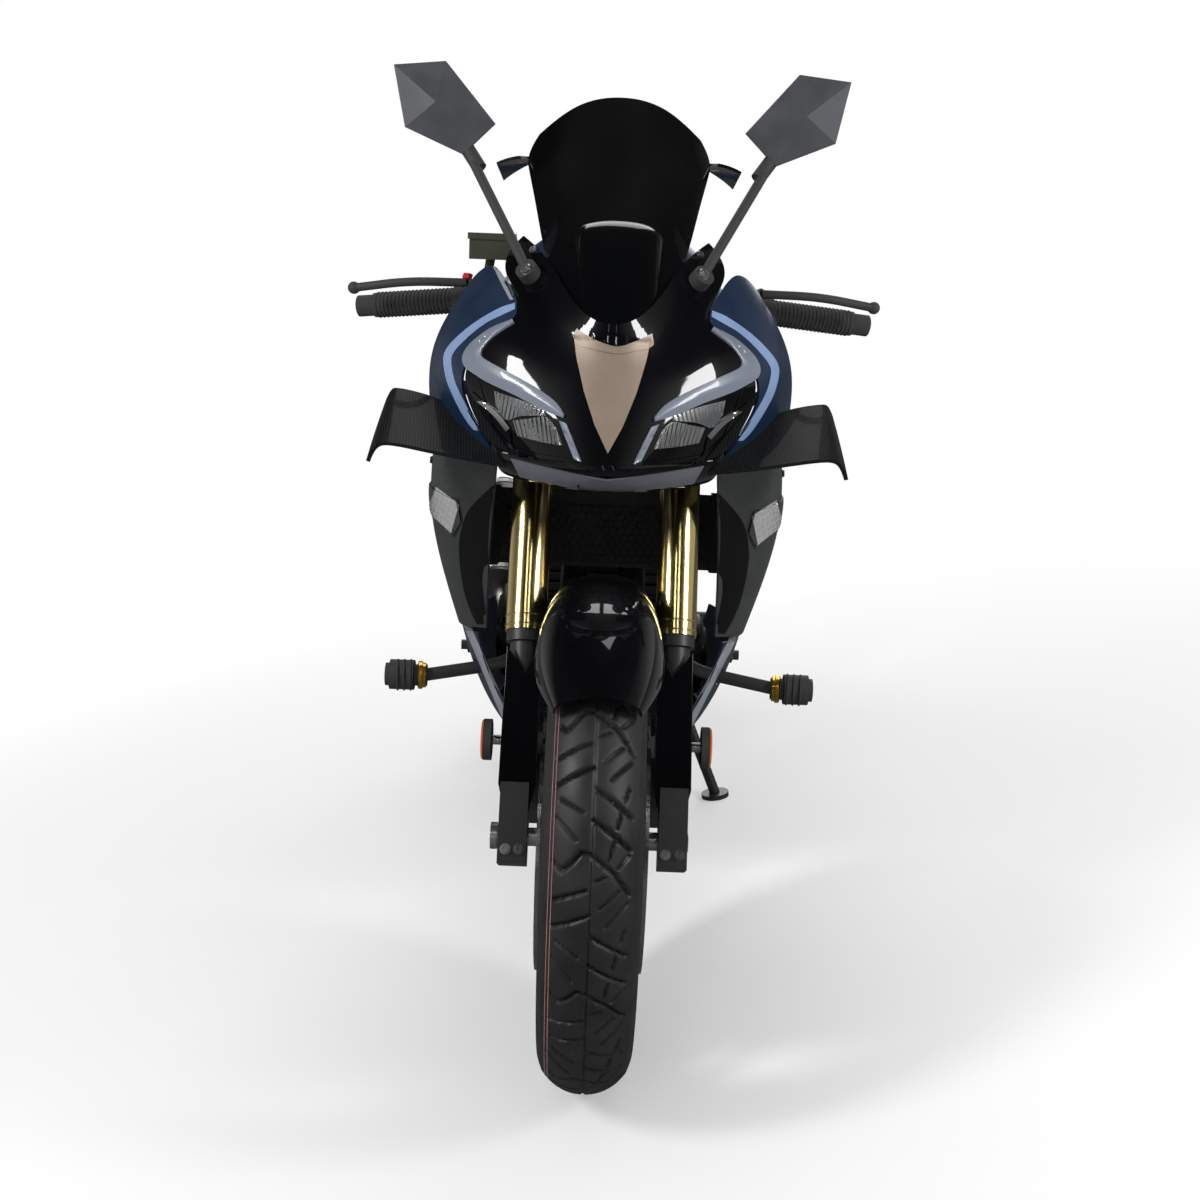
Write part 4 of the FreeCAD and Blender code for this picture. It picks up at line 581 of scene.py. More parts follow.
@dataclass(frozen=True)
class HeatTint(Finish):
    """Bare steel that goes straw and blue where it was hot, from the front of the pipe to the back."""

    hot_y: float = -0.35
    cool_y: float = 0.35
    straw: Colour = (0.42, 0.30, 0.16)
    blue: Colour = (0.16, 0.17, 0.30)

    def base(self, nodes: Nodes, broad: bpy.types.NodeSocket) -> bpy.types.NodeSocket:
        """Mixes steel, straw and blue along the pipe.

        Args:
            nodes: the material's nodes.
            broad: the socket of the broad tone.

        Returns:
            The colour's socket.
        """
        parts = nodes.add("ShaderNodeSeparateXYZ")
        nodes.link(object_place(nodes), parts.inputs[0])
        wander = nodes.math("MULTIPLY_ADD", broad, 0.08, parts.outputs[1])
        cool = nodes.span(wander, self.hot_y, self.cool_y)
        hot = nodes.mix(nodes.span(cool, 0.0, 0.35), self.blue, self.straw)
        return nodes.mix(nodes.span(cool, 0.35, 0.9), hot, self.colour)


SATIN_BLUE = Finish("satin_blue_paint", (0.009, 0.025, 0.068), rough=0.40, metal=0.35, grain_scale=2600,
                    grain_depth=0.00002, rough_spread=0.03, tone_spread=0.04)
SATIN_NAVY = Finish("satin_navy_paint", (0.014, 0.028, 0.065), rough=0.40, metal=0.3, grain_scale=2600,
                    grain_depth=0.00002, rough_spread=0.03, tone_spread=0.04)
# Painted highlight: a lighter blue in place of the light that the cowl's bevelled edge catches.
BLUE_BEVEL_HIGHLIGHT = Finish("blue_bevel_painted_highlight", (0.23, 0.33, 0.54), rough=0.40, metal=0.1, specular=0.4,
                    grain_scale=2600, grain_depth=0.00001, rough_spread=0.03, tone_spread=0.04)
# Grey paint for the belly pan's edge, and a painted highlight for the cowl's bevel on the image's left side.
GREY_EDGE_AND_HIGHLIGHT = Finish("grey_edge_paint_and_painted_highlight", (0.36, 0.38, 0.42), rough=0.34, metal=0.35, grain_scale=2600,
                     grain_depth=0.00001, rough_spread=0.03)
GLOSS_BLACK = Finish("gloss_black_paint", (0.0022, 0.0024, 0.0032), rough=0.30, coat=1.0, specular=0.03,
                     grain_scale=900, rough_spread=0.03, dust=0.0, coat_ior=1.38)
MATTE_BLACK = Finish("matte_grey_moulding", (0.034, 0.037, 0.037), grain_scale=2300, grain_depth=0.00006,
                     rough_spread=0.04, dust=0.03)
MIRROR_BLACK = Finish("mirror_shell_plastic", (0.050, 0.052, 0.060), rough=0.55, grain_scale=2300,
                      grain_depth=0.00012, rough_spread=0.05, dust=0.02)
BRONZE = Finish("satin_bronze_inlay", (0.270, 0.208, 0.160), rough=0.40, metal=0.25, specular=0.45,
                grain_scale=2600, grain_depth=0.00001, rough_spread=0.03, tone_spread=0.03)
CARBON = Twill("carbon_weave", (0.003, 0.003, 0.004), coat=0.10, specular=0.06, grain_scale=900,
               grain_depth=0.00008, rough_spread=0.03, dust=0.0, coat_ior=1.30, tows=560.0,
               light_tone=(0.017, 0.018, 0.019))
SCREEN = Finish("smoked_screen_skin", (0.0022, 0.0024, 0.0028), rough=0.30, coat=1.0, specular=0.02,
                grain_scale=700, rough_spread=0.02, dust=0.0, coat_ior=1.34)
RED_LENS = Finish("red_lens", (0.36, 0.008, 0.010), rough=0.08, coat=1.0, grain_scale=700, rough_spread=0.02,
                  dust=0.02)
AMBER = Finish("amber_reflector", (0.75, 0.14, 0.01), rough=0.16, coat=1.0, grain_scale=700,
               rough_spread=0.02, dust=0.02)
AMBER_LENS = Finish("amber_signal_lens", (0.50, 0.10, 0.01), rough=0.14, coat=0.8, grain_scale=700,
                    rough_spread=0.02, dust=0.0)
CHROME = Finish("lamp_chrome", (0.50, 0.51, 0.52), rough=0.22, metal=1.0, grain_scale=900, rough_spread=0.04,
                dust=0.0)
TYRE = Finish("tyre_rubber", (0.013, 0.0135, 0.0135), specular=0.40, grain_scale=1500, grain_depth=0.00012,
              rough_spread=0.08, tone_spread=0.2)
RIM = Finish("black_rim_paint", (0.009, 0.009, 0.010), rough=0.25, metal=0.3, coat=0.4, grain_scale=1500,
             grain_depth=0.00001, rough_spread=0.04, wear=0.05, dust=0.03)
DISC = Finish("ground_disc_steel", (0.42, 0.42, 0.43), rough=0.26, metal=1.0, grain_scale=3200,
              grain_depth=0.00002, rough_spread=0.08, dust=0.02)
OILED = Finish("oiled_chain_steel", (0.20, 0.19, 0.17), rough=0.38, metal=1.0, grain_scale=1200,
               grain_depth=0.00004, rough_spread=0.12, tone_spread=0.3)
STEEL = Finish("machined_steel", (0.52, 0.52, 0.53), rough=0.28, metal=1.0, grain_scale=2400,
               grain_depth=0.00002, rough_spread=0.08, dust=0.02)
GOLD = Finish("gold_anodised_tube", (0.74, 0.60, 0.26), rough=0.17, metal=1.0, grain_scale=2400,
              rough_spread=0.01, tone_spread=0.03, dust=0.0)
GOLD_COLLAR = Finish("gold_anodised_collar", (0.70, 0.42, 0.07), rough=0.28, metal=1.0, grain_scale=2400,
                     grain_depth=0.00001, rough_spread=0.05, dust=0.02)
CASTING = Finish("black_casting", (0.009, 0.009, 0.010), rough=0.42, metal=0.2, specular=0.45,
                 grain_scale=900, grain_depth=0.00005, rough_spread=0.05, wear=0.08, dust=0.03)
TRIM = Finish("black_trim", (0.012, 0.012, 0.013), rough=0.45, specular=0.4, grain_scale=2000,
              grain_depth=0.00008, dust=0.06)
RUBBER = Finish("grip_rubber", (0.014, 0.014, 0.014), rough=0.70, specular=0.3, grain_scale=2400,
                grain_depth=0.00012, dust=0.08)
FRAME = Finish("satin_frame_paint", (0.010, 0.010, 0.011), rough=0.35, metal=0.1, coat=0.2, grain_scale=1400,
               grain_depth=0.00001, rough_spread=0.04, wear=0.05, dust=0.03)
CASES = Finish("engine_case_metal", (0.055, 0.055, 0.058), rough=0.46, metal=0.7, grain_scale=500,
               grain_depth=0.00012, wear=0.15)
CORE = Finish("radiator_core", (0.016, 0.016, 0.017), metal=0.2, specular=0.4, grain_scale=900,
              grain_depth=0.0001, rough_spread=0.08, dust=0.10)
PIPE = HeatTint("tinted_pipe_steel", (0.38, 0.35, 0.31), rough=0.30, metal=1.0, grain_scale=1400,
                grain_depth=0.00002, rough_spread=0.10)
MUFFLER = Finish("silencer_steel", (0.060, 0.060, 0.063), rough=0.34, metal=0.8, grain_scale=2600,
                 grain_depth=0.00002)
VINYL = Finish("seat_vinyl", (0.014, 0.014, 0.015), rough=0.52, specular=0.4, grain_scale=900,
               grain_depth=0.00025, dust=0.08)
GUIDE = Finish("milky_light_guide", (0.18, 0.20, 0.25), rough=0.30, coat=0.3, specular=0.3, grain_scale=900,
               rough_spread=0.02, tone_spread=0.03, dust=0.0)
LIP_GREY = Finish("grey_chin_lip", (0.085, 0.090, 0.105), rough=0.42, specular=0.4, grain_scale=2300,
                  grain_depth=0.00002, rough_spread=0.03, tone_spread=0.05, dust=0.02)
SIGNAL = Finish("signal_glass", (0.44, 0.44, 0.45), rough=0.14, metal=0.2, coat=1.0, grain_scale=900,
                rough_spread=0.03, tone_spread=0.05, dust=0.0)
GLASS = Finish("mirror_glass", (0.80, 0.82, 0.84), rough=0.03, metal=1.0, grain_scale=900, rough_spread=0.0,
               dust=0.0)
# Near-black for painted shade in hollows.
RECESS_SHADE = Finish("painted_recess_shade", (0.0032, 0.0036, 0.0038), rough=0.60, specular=0.2, grain_scale=2300,
                grain_depth=0.00004, rough_spread=0.03, dust=0.0)
RED_PLASTIC = Finish("red_switch_plastic", (0.55, 0.01, 0.01), rough=0.35, coat=0.3, specular=0.4,
                     grain_scale=900, rough_spread=0.02, dust=0.0)
PINK = Finish("pink_tyre_line", (0.42, 0.20, 0.21), rough=0.6, specular=0.3, grain_scale=900,
              rough_spread=0.05, dust=0.0)
OLIVE = Finish("olive_fluid_box", (0.065, 0.068, 0.045), rough=0.40, coat=0.2, specular=0.4, grain_scale=900,
               rough_spread=0.04)
SPRING = Finish("spring_paint", (0.018, 0.018, 0.019), rough=0.34, metal=0.1, coat=0.3, grain_scale=1400,
                grain_depth=0.00002, rough_spread=0.05, dust=0.06)

NODE_FINISH = {
    "front_wheel": RIM, "rear_wheel": RIM, "front_tyre": TYRE, "rear_tyre": TYRE,
    "front_discs": DISC, "rear_disc": DISC, "rear_sprocket": OILED, "front_sprocket": OILED, "chain": OILED,
    "fork_tubes": GOLD, "fork_legs": CASTING, "front_axle": STEEL, "triple_clamps": CASTING,
    "handlebars": RUBBER, "hand_controls": TRIM, "front_fender": GLOSS_BLACK, "front_calipers": CASTING,
    "rear_caliper": CASTING, "fork_reflectors": TRIM, "main_frame": FRAME, "engine": CASES, "radiator": CORE,
    "exhaust_pipe": PIPE, "muffler": MUFFLER, "fuel_tank": SATIN_BLUE, "rider_seat": VINYL,
    "pillion_seat": VINYL, "tail_cowl": SATIN_BLUE, "nose_cowl": GLOSS_BLACK, "nose_panel": BRONZE,
    "headlights": GLOSS_BLACK, "windscreen": SCREEN, "chin_panel": GLOSS_BLACK, "side_cowl_left": SATIN_BLUE,
    "side_cowl_right": SATIN_BLUE, "mid_cowl_left": MATTE_BLACK, "mid_cowl_right": MATTE_BLACK,
    "belly_cowl_left": SATIN_NAVY, "belly_cowl_right": SATIN_NAVY, "winglets": CARBON,
    "mirrors": MIRROR_BLACK, "swingarm": FRAME, "rear_shock": SPRING, "rear_hugger": MATTE_BLACK,
    "tail_light": RED_LENS, "plate_bracket": TRIM, "brake_reservoir": OLIVE, "crash_sliders": TRIM,
    "rearsets": CASTING, "screen_blades": GLOSS_BLACK, "instrument_panel": TRIM, "front_signals": MATTE_BLACK,
    "rear_signals": AMBER_LENS, "side_stand": FRAME,
}


SQUARE = ((-1, -1), (1, -1), (1, 1), (-1, 1))
STEEP = 0.9


def sideways(axis: Vector) -> Vector:
    """Finds a direction square to an axis.

    Args:
        axis: the axis, of length one.

    Returns:
        The direction.
    """
    guide = Vector((0, 0, 1)) if abs(axis.z) < STEEP else Vector((1, 0, 0))
    return axis.cross(guide).normalized()


def spokes(axis: Vector, count: int) -> list[Vector]:
    """Spreads directions evenly round an axis.

    Args:
        axis: the axis, of length one.
        count: how many directions.

    Returns:
        The directions.
    """
    across = sideways(axis)
    other = axis.cross(across)
    turns = [2 * math.pi * k / count for k in range(count)]
    return [across * math.cos(t) + other * math.sin(t) for t in turns]


class Shape:
    """A mesh in the making, in millimetres in the upright bike's frame."""

    def __init__(self) -> None:
        """Starts with nothing."""
        self.points: list[Vector] = []
        self.faces: list[tuple[int, ...]] = []

    def grid(self, rows: Sequence[Sequence[Vector]], closed: bool = False, looped: bool = False) -> Shape:
        """Adds a net of four-sided faces.

        Args:
            rows: rows of points, each as long as the next.
            closed: whether each row's last point joins its first.
            looped: whether the last row joins the first.

        Returns:
            The shape itself.
        """
        start, wide, high = len(self.points), len(rows[0]), len(rows)
        self.points += [Vector(point) for row in rows for point in row]
        for i in range(high if looped else high - 1):
            for j in range(wide if closed else wide - 1):
                a, b = i * wide, (i + 1) % high * wide
                k = (j + 1) % wide
                self.faces.append((start + a + j, start + a + k, start + b + k, start + b + j))
        return self

    def loft(self, rings: Sequence[Sequence[Vector]]) -> Shape:
        """Adds a closed skin through rings, with flat ends.

        Args:
            rings: the rings, each with as many points as the next.

        Returns:
            The shape itself.
        """
        start, count = len(self.points), len(rings[0])
        self.grid(rings, closed=True)
        last = start + (len(rings) - 1) * count
        self.faces.append(tuple(reversed(range(start, start + count))))
        self.faces.append(tuple(range(last, last + count)))
        return self

    def rod(self, path: Sequence[Vector], radius: float, sides: int) -> Shape:
        """Adds a round rod along a path.

        Args:
            path: the middle line's points.
            radius: its radius.
            sides: corners of the section.

        Returns:
            The shape itself.
        """
        middle = [Vector(point) for point in path]
        turns = [2 * math.pi * k / sides for k in range(sides)]
        rings = []
        across = None
        for i, spot in enumerate(middle):
            ahead = (middle[min(i + 1, len(middle) - 1)] - middle[max(i - 1, 0)]).normalized()
            if across is None:
                across = sideways(ahead)
            across = (across - ahead * across.dot(ahead)).normalized()
            other = ahead.cross(across)
            rings.append([spot + (across * math.cos(t) + other * math.sin(t)) * radius for t in turns])
        return self.loft(rings)

    def lathe(self, profile: Sequence[Pair], start: Vector, ahead: Vector, steps: int) -> Shape:
        """Adds a turned solid.

        Args:
            profile: radius and distance along the axis for each ring.
            start: where the axis starts.
            ahead: the axis direction.
            steps: faces round the axis.

        Returns:
            The shape itself.
        """
        axis = Vector(ahead).normalized()
        outs = spokes(axis, steps)
        return self.loft([[start + axis * along + out * radius for out in outs] for radius, along in profile])

    def ring(
        self, middle: Vector, ahead: Vector, radius: float, thick: float, steps: int, sides: int
    ) -> Shape:
        """Adds a round ring.

        Args:
            middle: its middle.
            ahead: its axis.
            radius: from the axis to the middle of its section.
            thick: the section's radius.
            steps: faces round the axis.
            sides: corners of the section.

        Returns:
            The shape itself.
        """
        axis = Vector(ahead).normalized()
        turns = [2 * math.pi * k / sides for k in range(sides)]
        rows = []
        for out in spokes(axis, steps):
            row = [middle + out * (radius + thick * math.cos(t)) + axis * thick * math.sin(t) for t in turns]
            rows.append(row)
        return self.grid(rows, closed=True, looped=True)

    def block(self, middle: Vector, sizes: Point, turn: Matrix, taper: float = 1.0) -> Shape:
        """Adds a block whose far end along its third size may be narrower.

        Args:
            middle: its middle.
            sizes: its sizes along its own three directions.
            turn: how it is turned.
            taper: the far end's width as a share of the near end's.

        Returns:
            The shape itself.
        """
        wide, deep, high = sizes
        rings = []
        for end, share in ((-0.5, 1.0), (0.5, taper)):
            corners = [(a * wide / 2 * share, b * deep / 2 * share, end * high) for a, b in SQUARE]
            rings.append([middle + turn @ Vector(corner) for corner in corners])
        return self.loft(rings)

    def solid(self, rows: Sequence[Sequence[Vector]], under: Sequence[Sequence[Vector]]) -> Shape:
        """Adds the closed solid between two nets of the same size.

        Args:
            rows: the outer net.
            under: the inner net.

        Returns:
            The shape itself.
        """
        wide, high = len(rows[0]), len(rows)
        start = len(self.points)
        self.grid(rows)
        low = len(self.points)
        self.points += [Vector(point) for row in under for point in row]
        for i in range(high - 1):
            for j in range(wide - 1):
                a, b = low + i * wide + j, low + (i + 1) * wide + j
                self.faces.append((a, b, b + 1, a + 1))
        edge = [(0, j) for j in range(wide)] + [(i, wide - 1) for i in range(1, high)]
        edge += [(high - 1, j) for j in range(wide - 2, -1, -1)] + [(i, 0) for i in range(high - 2, 0, -1)]
        for (i, j), (k, m) in zip(edge, edge[1:] + edge[:1]):
            a, b = i * wide + j, k * wide + m
            self.faces.append((start + b, start + a, low + a, low + b))
        return self

    def both(self) -> Shape:
        """Adds the mirror image on the bike's other side.

        Returns:
            The shape itself.
        """
        start = len(self.points)
        self.faces += [tuple(start + i for i in reversed(face)) for face in self.faces]
        self.points += [Vector((-point.x, point.y, point.z)) for point in self.points]
        return self

    def mesh(self, name: str) -> bpy.types.Mesh:
        """Builds the mesh in the leaning frame, with its faces turned outward.

        Args:
            name: the mesh's name.

        Returns:
            The mesh.
        """
        made = bpy.data.meshes.new(name)
        made.from_pydata([PLACE @ point for point in self.points], [], self.faces)
        made.validate()
        work = bmesh.new()
        work.from_mesh(made)
        bmesh.ops.recalc_face_normals(work, faces=work.faces)
        work.to_mesh(made)
        work.free()
        return made

    def make(
        self, name: str, body: Body, slot: str, finish: Finish, bevel: float = 0.0, angle: float = 35.0
    ) -> bpy.types.Object:
        """Turns the shape into a piece that rides on a body.

        Args:
            name: the piece's name.
            body: the body it rides on.
            slot: the record's material slot; not used.
            finish: its surface.
            bevel: width of its rounded edges in millimetres.
            angle: edges that turn by more than this many degrees stay sharp.

        Returns:
            The piece.
        """
        mesh = self.mesh(name)
        mesh.shade_smooth()
        mesh.set_sharp_from_angle(angle=math.radians(angle))
        mesh.materials.append(finish.material())
        made = put(name, mesh)
        if bevel:
            rounding = made.modifiers.new("edges", "BEVEL")
            rounding.width = bevel / 1000
            rounding.segments = 2
            rounding.limit_method = "ANGLE"
            rounding.angle_limit = math.radians(angle)
            rounding.harden_normals = True
        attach(made, body.value)
        LOG.info("made %s with %d faces", name, len(mesh.polygons))
        return made


SPAN_STEPS = 24


def along_path(path: Sequence[Vector], reach: Sequence[float], mark: float) -> Vector:
    """Finds a place by its distance along a path.

    Args:
        path: the path's points.
        reach: each point's distance from the first, along the path.
        mark: the distance that is looked for.

    Returns:
        The place.
    """
    return Vector([float(np.interp(mark, reach, [point[k] for point in path])) for k in range(3)])


def flowing(points: Sequence[Sequence[float]], count: int) -> list[Vector]:
    """Draws a smooth line through points.

    Args:
        points: the places it passes, in two or three numbers each.
        count: how many places to give, evenly spaced along it.

    Returns:
        The places.
    """
    knots = [Vector((*point, 0.0)[:3]) for point in points]
    if len(knots) == 2:
        return [knots[0].lerp(knots[1], i / (count - 1)) for i in range(count)]
    dense = []
    padded = [knots[0] * 2 - knots[1]] + knots + [knots[-1] * 2 - knots[-2]]
    for a, b, c, d in zip(padded, padded[1:], padded[2:], padded[3:]):
        for i in range(SPAN_STEPS):
            t = i / SPAN_STEPS
            square, cube = a * 2 - b * 5 + c * 4 - d, b * 3 - a - c * 3 + d
            dense.append((b * 2 + (c - a) * t + square * t**2 + cube * t**3) / 2)
    dense.append(knots[-1])
    reach = [0.0]
    for a, b in zip(dense, dense[1:]):
        reach.append(reach[-1] + (b - a).length)
    return [along_path(dense, reach, reach[-1] * i / (count - 1)) for i in range(count)]


class Skin:
    """The outside of some nodes of the frame, in millimetres in the upright bike, that trim is laid on."""

    beyond = 900.0

    def __init__(self, *names: str) -> None:
        """Reads the nodes.

        Args:
            names: the nodes' names.
        """
        points: list[Vector] = []
        faces: list[tuple[int, ...]] = []
        for name in names:
            mesh = frame["nodes"][name].data
            start = len(points)
            points += [UPRIGHT @ vertex.co for vertex in mesh.vertices]
            faces += [tuple(start + i for i in polygon.vertices) for polygon in mesh.polygons]
        self.points = points
        self.tree = BVHTree.FromPolygons(points, faces)

    def cast(self, start: Vector, ahead: Vector) -> tuple[Vector, Vector]:
        """Finds where a ray first meets the skin, or the nearest place to it.

        Args:
            start: the ray's start.
            ahead: its direction.

        Returns:
            The place and the outward direction there.
        """
        spot, facing, _, _ = self.tree.ray_cast(start, ahead)
        if spot is None:
            middle = sum(self.points, Vector()) / len(self.points)
            guess = start + ahead * (middle - start).dot(ahead)
            spot, facing, _, _ = self.tree.find_nearest(guess)
        return spot, facing if facing.dot(ahead) < 0 else -facing

    def seen(self, pixel: Pixel) -> tuple[Vector, Vector]:
        """Finds the place under a pixel of the photograph."""
        return self.cast(*PHOTO.ray((pixel[0], pixel[1])))

    def side(self, y: float, z: float, side: Side) -> tuple[Vector, Vector]:
        """Finds the place seen straight from one side."""
        return self.cast(Vector((side.value * self.beyond, y, z)), Vector((-side.value, 0, 0)))


# Grooves of one pitch of tread, drawn at these sizes: a width, then points across the tyre and round it.
DRAWN_PITCH = 153.4
DRAWN_HALF = 54
GROOVES = (
    (4.0, ((-44, 81), (-33, 72), (-22, 81), (-11, 93), (-2, 91), (24, 72), (44, 48))),
    (3.8, ((-44, 10), (0, 28))),
    (3.8, ((-44, 40), (-5, 54))),
    (4.0, ((0, 126), (44, 96))),
    (4.0, ((2, 158), (44, 131))),
    (2.6, ((-44, 129), (-17, 105))),
    (2.6, ((-38, 148), (-11, 134))),
    (2.6, ((26, 118), (31, 135))),
    (2.6, ((35, 148), (40, 163))),
    (2.6, ((28, 77), (42, 90))),
    (2.6, ((18, 85), (22, 102))),
    (2.6, ((4, 63), (14, 68))),
    (2.6, ((10, 35), (30, 53))),
    (2.6, ((17, 15), (42, 39))),
    (1.6, ((0, -4), (0, 160))),
)


@dataclass(frozen=True)
class TreadedTyre:
    """A road tyre with cut grooves."""

    node: str
    body: Body
    hub: Pair
    radius: float
    crown: float
    half: float
    rim_half: float
    pitches: int
    steps: int
    depth: float = 4.2
    rim_radius: float = 215.9
    shoulder_share: float = 0.9
    rows: int = 88
    wall_steps: tuple[Pair, ...] = ((0.4, 14), (0.6, 24))
    wall_dip: float = 12.0
    bead_rise: float = 12.5
    bead_inset: float = 3.4
    bead_gap: float = 0.4
    line_radius: float = 0.45
    line_rise: float = 0.05
    groove_slope: float = 1.8
    edge_fade: float = 5.0
    edge_share: float = 0.96

    def section(self) -> np.ndarray:
        """Draws the smooth section from bead to bead.

        Returns:
            Rows of distance across, radius and distance from the crown along the section.
        """
        reach = self.half * self.shoulder_share
        turn = math.asin(reach / self.crown)
        arc = [(self.crown * math.sin(a), self.radius - self.crown * (1 - math.cos(a)))
               for a in np.linspace(0, turn, 14)]
        low, shoulder, bead = self.rim_radius + self.bead_rise, arc[-1][1], self.rim_half - self.bead_inset
        wall = [(self.half - inset, shoulder - drop) for inset, drop in self.wall_steps]
        wall += [((self.half + self.rim_half) / 2, (shoulder + low) / 2 - self.wall_dip), (bead, low)]
        line = flowing([*arc[::3], arc[-1], *wall], self.rows // 2)
        half = [(spot.x, spot.y) for spot in line]
        whole = [(-x, r) for x, r in reversed(half[1:])] + half
        foot = self.rim_radius + self.bead_gap
        points = np.array([(-bead, foot), *whole, (bead, foot)])
        steps = np.concatenate([[0], np.cumsum(np.linalg.norm(np.diff(points, axis=0), axis=1))])
        middle = steps[int(np.argmax(points[:, 1]))]
        return np.column_stack([points, steps - middle])

    def cut(self, around: np.ndarray, across: np.ndarray) -> np.ndarray:
        """Gives the depth of the grooves at places of the tread.

        Args:
            around: distances round the tyre in one pitch.
            across: distances from the crown.

        Returns:
            Depths, a row for each place round the tyre.
        """
        pitch = 2 * math.pi * self.radius / self.pitches
        scale_u, scale_v = pitch / DRAWN_PITCH, self.half / DRAWN_HALF
        u, v = np.meshgrid(around, across, indexing="ij")
        depth = np.zeros_like(u)
        for width, points in GROOVES:
            for (v0, u0), (v1, u1) in zip(points, points[1:]):
                start = np.array((u0 * scale_u, v0 * scale_v))
                step = np.array((u1 * scale_u, v1 * scale_v)) - start
                for shift in (-pitch, 0, pitch):
                    du, dv = u + shift - start[0], v - start[1]
                    share = np.clip((du * step[0] + dv * step[1]) / step.dot(step), 0, 1)
                    far = np.hypot(du - share * step[0], dv - share * step[1])
                    wall = np.clip((width / 2 + self.groove_slope / 2 - far) / self.groove_slope, 0, 1)
                    depth = np.maximum(depth, wall * wall * (3 - 2 * wall) * min(1.0, width / 3))
        fade = np.clip((self.half * self.edge_share - np.abs(v)) / self.edge_fade, 0, 1)
        return depth * fade * self.depth

    def build(self) -> None:
        """Makes the tyre in place of its plain solid."""
        section = self.section()
        pitch = 2 * math.pi * self.radius / self.pitches
        each = self.steps // self.pitches
        depth = np.tile(self.cut(np.arange(each) * pitch / each, section[:, 2]), (self.pitches, 1))
        slope = np.gradient(section[:, :2], axis=0)
        normal = np.column_stack([-slope[:, 1], slope[:, 0]])
        normal /= np.linalg.norm(normal, axis=1)[:, None]
        across = section[:, 0] - depth * normal[:, 0]
        radius = section[:, 1] - depth * normal[:, 1]
        turns = np.arange(each * self.pitches) * 2 * math.pi / (each * self.pitches)
        y, z = self.hub
        rows = [
            [Vector((x, y + r * math.sin(t), z + r * math.cos(t))) for x, r in zip(xs, rs)]
            for t, xs, rs in zip(turns, across, radius)
        ]
        shape = Shape().grid(rows, closed=True, looped=True)
        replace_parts(shape.make(f"{self.node}_treaded", self.body, "tyre", TYRE, angle=50), self.node)

    def stripe(self, across: float, finish: Finish) -> None:
        """Paints a thin line round one side of the tread.

        Args:
            across: its distance from the crown along the section.
            finish: its surface.
        """
        section = self.section()
        spot = int(np.argmin(np.abs(section[:, 2] - across)))
        x, r = section[spot, 0], section[spot, 1]
        middle = Vector((x, *self.hub))
        name = f"{self.node}_line_{int(abs(across))}"
        line = Shape().ring(middle, Vector((1, 0, 0)), r + self.line_rise, self.line_radius, 300, 6)
        line.make(name, self.body, "tyre", finish)


def carved(name: str, node: str, body: Body, finish: Finish, tool: Shape) -> bpy.types.Object:
    """Copies a node with holes cut through it, to show in its place.

    Args:
        name: the copy's name.
        node: the node that it stands for.
        body: the body it rides on.
        finish: its surface.
        tool: what is cut away.

    Returns:
        The piece.
    """
    source = frame["nodes"][node]
    made = put(name, source.data.copy())
    made.matrix_world = source.matrix_world.copy()
    cutter = put(f"{name}_tool", tool.mesh(f"{name}_tool"))
    opening = made.modifiers.new("holes", "BOOLEAN")
    opening.object = cutter
    opening.solver = "EXACT"
    bpy.context.view_layer.update()
    result = bpy.data.meshes.new_from_object(made.evaluated_get(bpy.context.evaluated_depsgraph_get()))
    made.modifiers.clear()
    made.data = result
    bpy.data.objects.remove(cutter)
    result.materials.clear()
    result.materials.append(finish.material())
    result.shade_smooth()
    result.set_sharp_from_angle(angle=math.radians(30))
    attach(made, body.value)
    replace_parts(made, node)
    LOG.info("carved %s from %s", name, node)
    return made


@dataclass(frozen=True)
class Discs:
    """Drilled brake discs."""

    node: str
    body: Body
    hub: Pair
    planes: tuple[float, ...]
    rings: tuple[tuple[float, int], ...]
    drill: float = 3.6
    drill_length: float = 16.0

    def build(self) -> None:
        """Drills the holes through the plain discs."""
        tool = Shape()
        y, z = self.hub
        profile = ((self.drill, 0), (self.drill, self.drill_length))
        for plane in self.planes:
            for k, (radius, count) in enumerate(self.rings):
                for i in range(count):
                    turn = 2 * math.pi * (i + k / len(self.rings)) / count
                    side = plane - self.drill_length / 2
                    start = Vector((side, y + radius * math.sin(turn), z + radius * math.cos(turn)))
                    tool.lathe(profile, start, Vector((1, 0, 0)), 10)
        carved(f"{self.node}_drilled", self.node, self.body, DISC, tool)


class Bolts:
    """Bolt heads of one body, gathered into one piece."""

    def __init__(self, name: str, body: Body, slot: str = "axle_steel", finish: Finish = STEEL) -> None:
        """Starts an empty set."""
        self.name, self.body, self.slot, self.finish = name, body, slot, finish
        self.shape = Shape()

    def add(self, found: tuple[Vector, Vector], radius: float, washer: float = 1.25) -> None:
        """Adds a socket head with its washer.

        Args:
            found: the place that it stands on and the outward direction there.
            radius: the head's radius.
            washer: the washer's radius as a share of the head's.
        """
        spot, facing = found
        head = (
            (radius * washer, -1.5), (radius * washer, 0.7), (radius, 0.7), (radius, radius * 0.55),
            (radius * 0.86, radius * 0.72), (radius * 0.52, radius * 0.72), (radius * 0.46, radius * 0.3),
        )
        self.shape.lathe(head, spot, facing, 18)

    def build(self) -> None:
        """Makes the piece."""
        self.shape.make(self.name, self.body, self.slot, self.finish, angle=32)


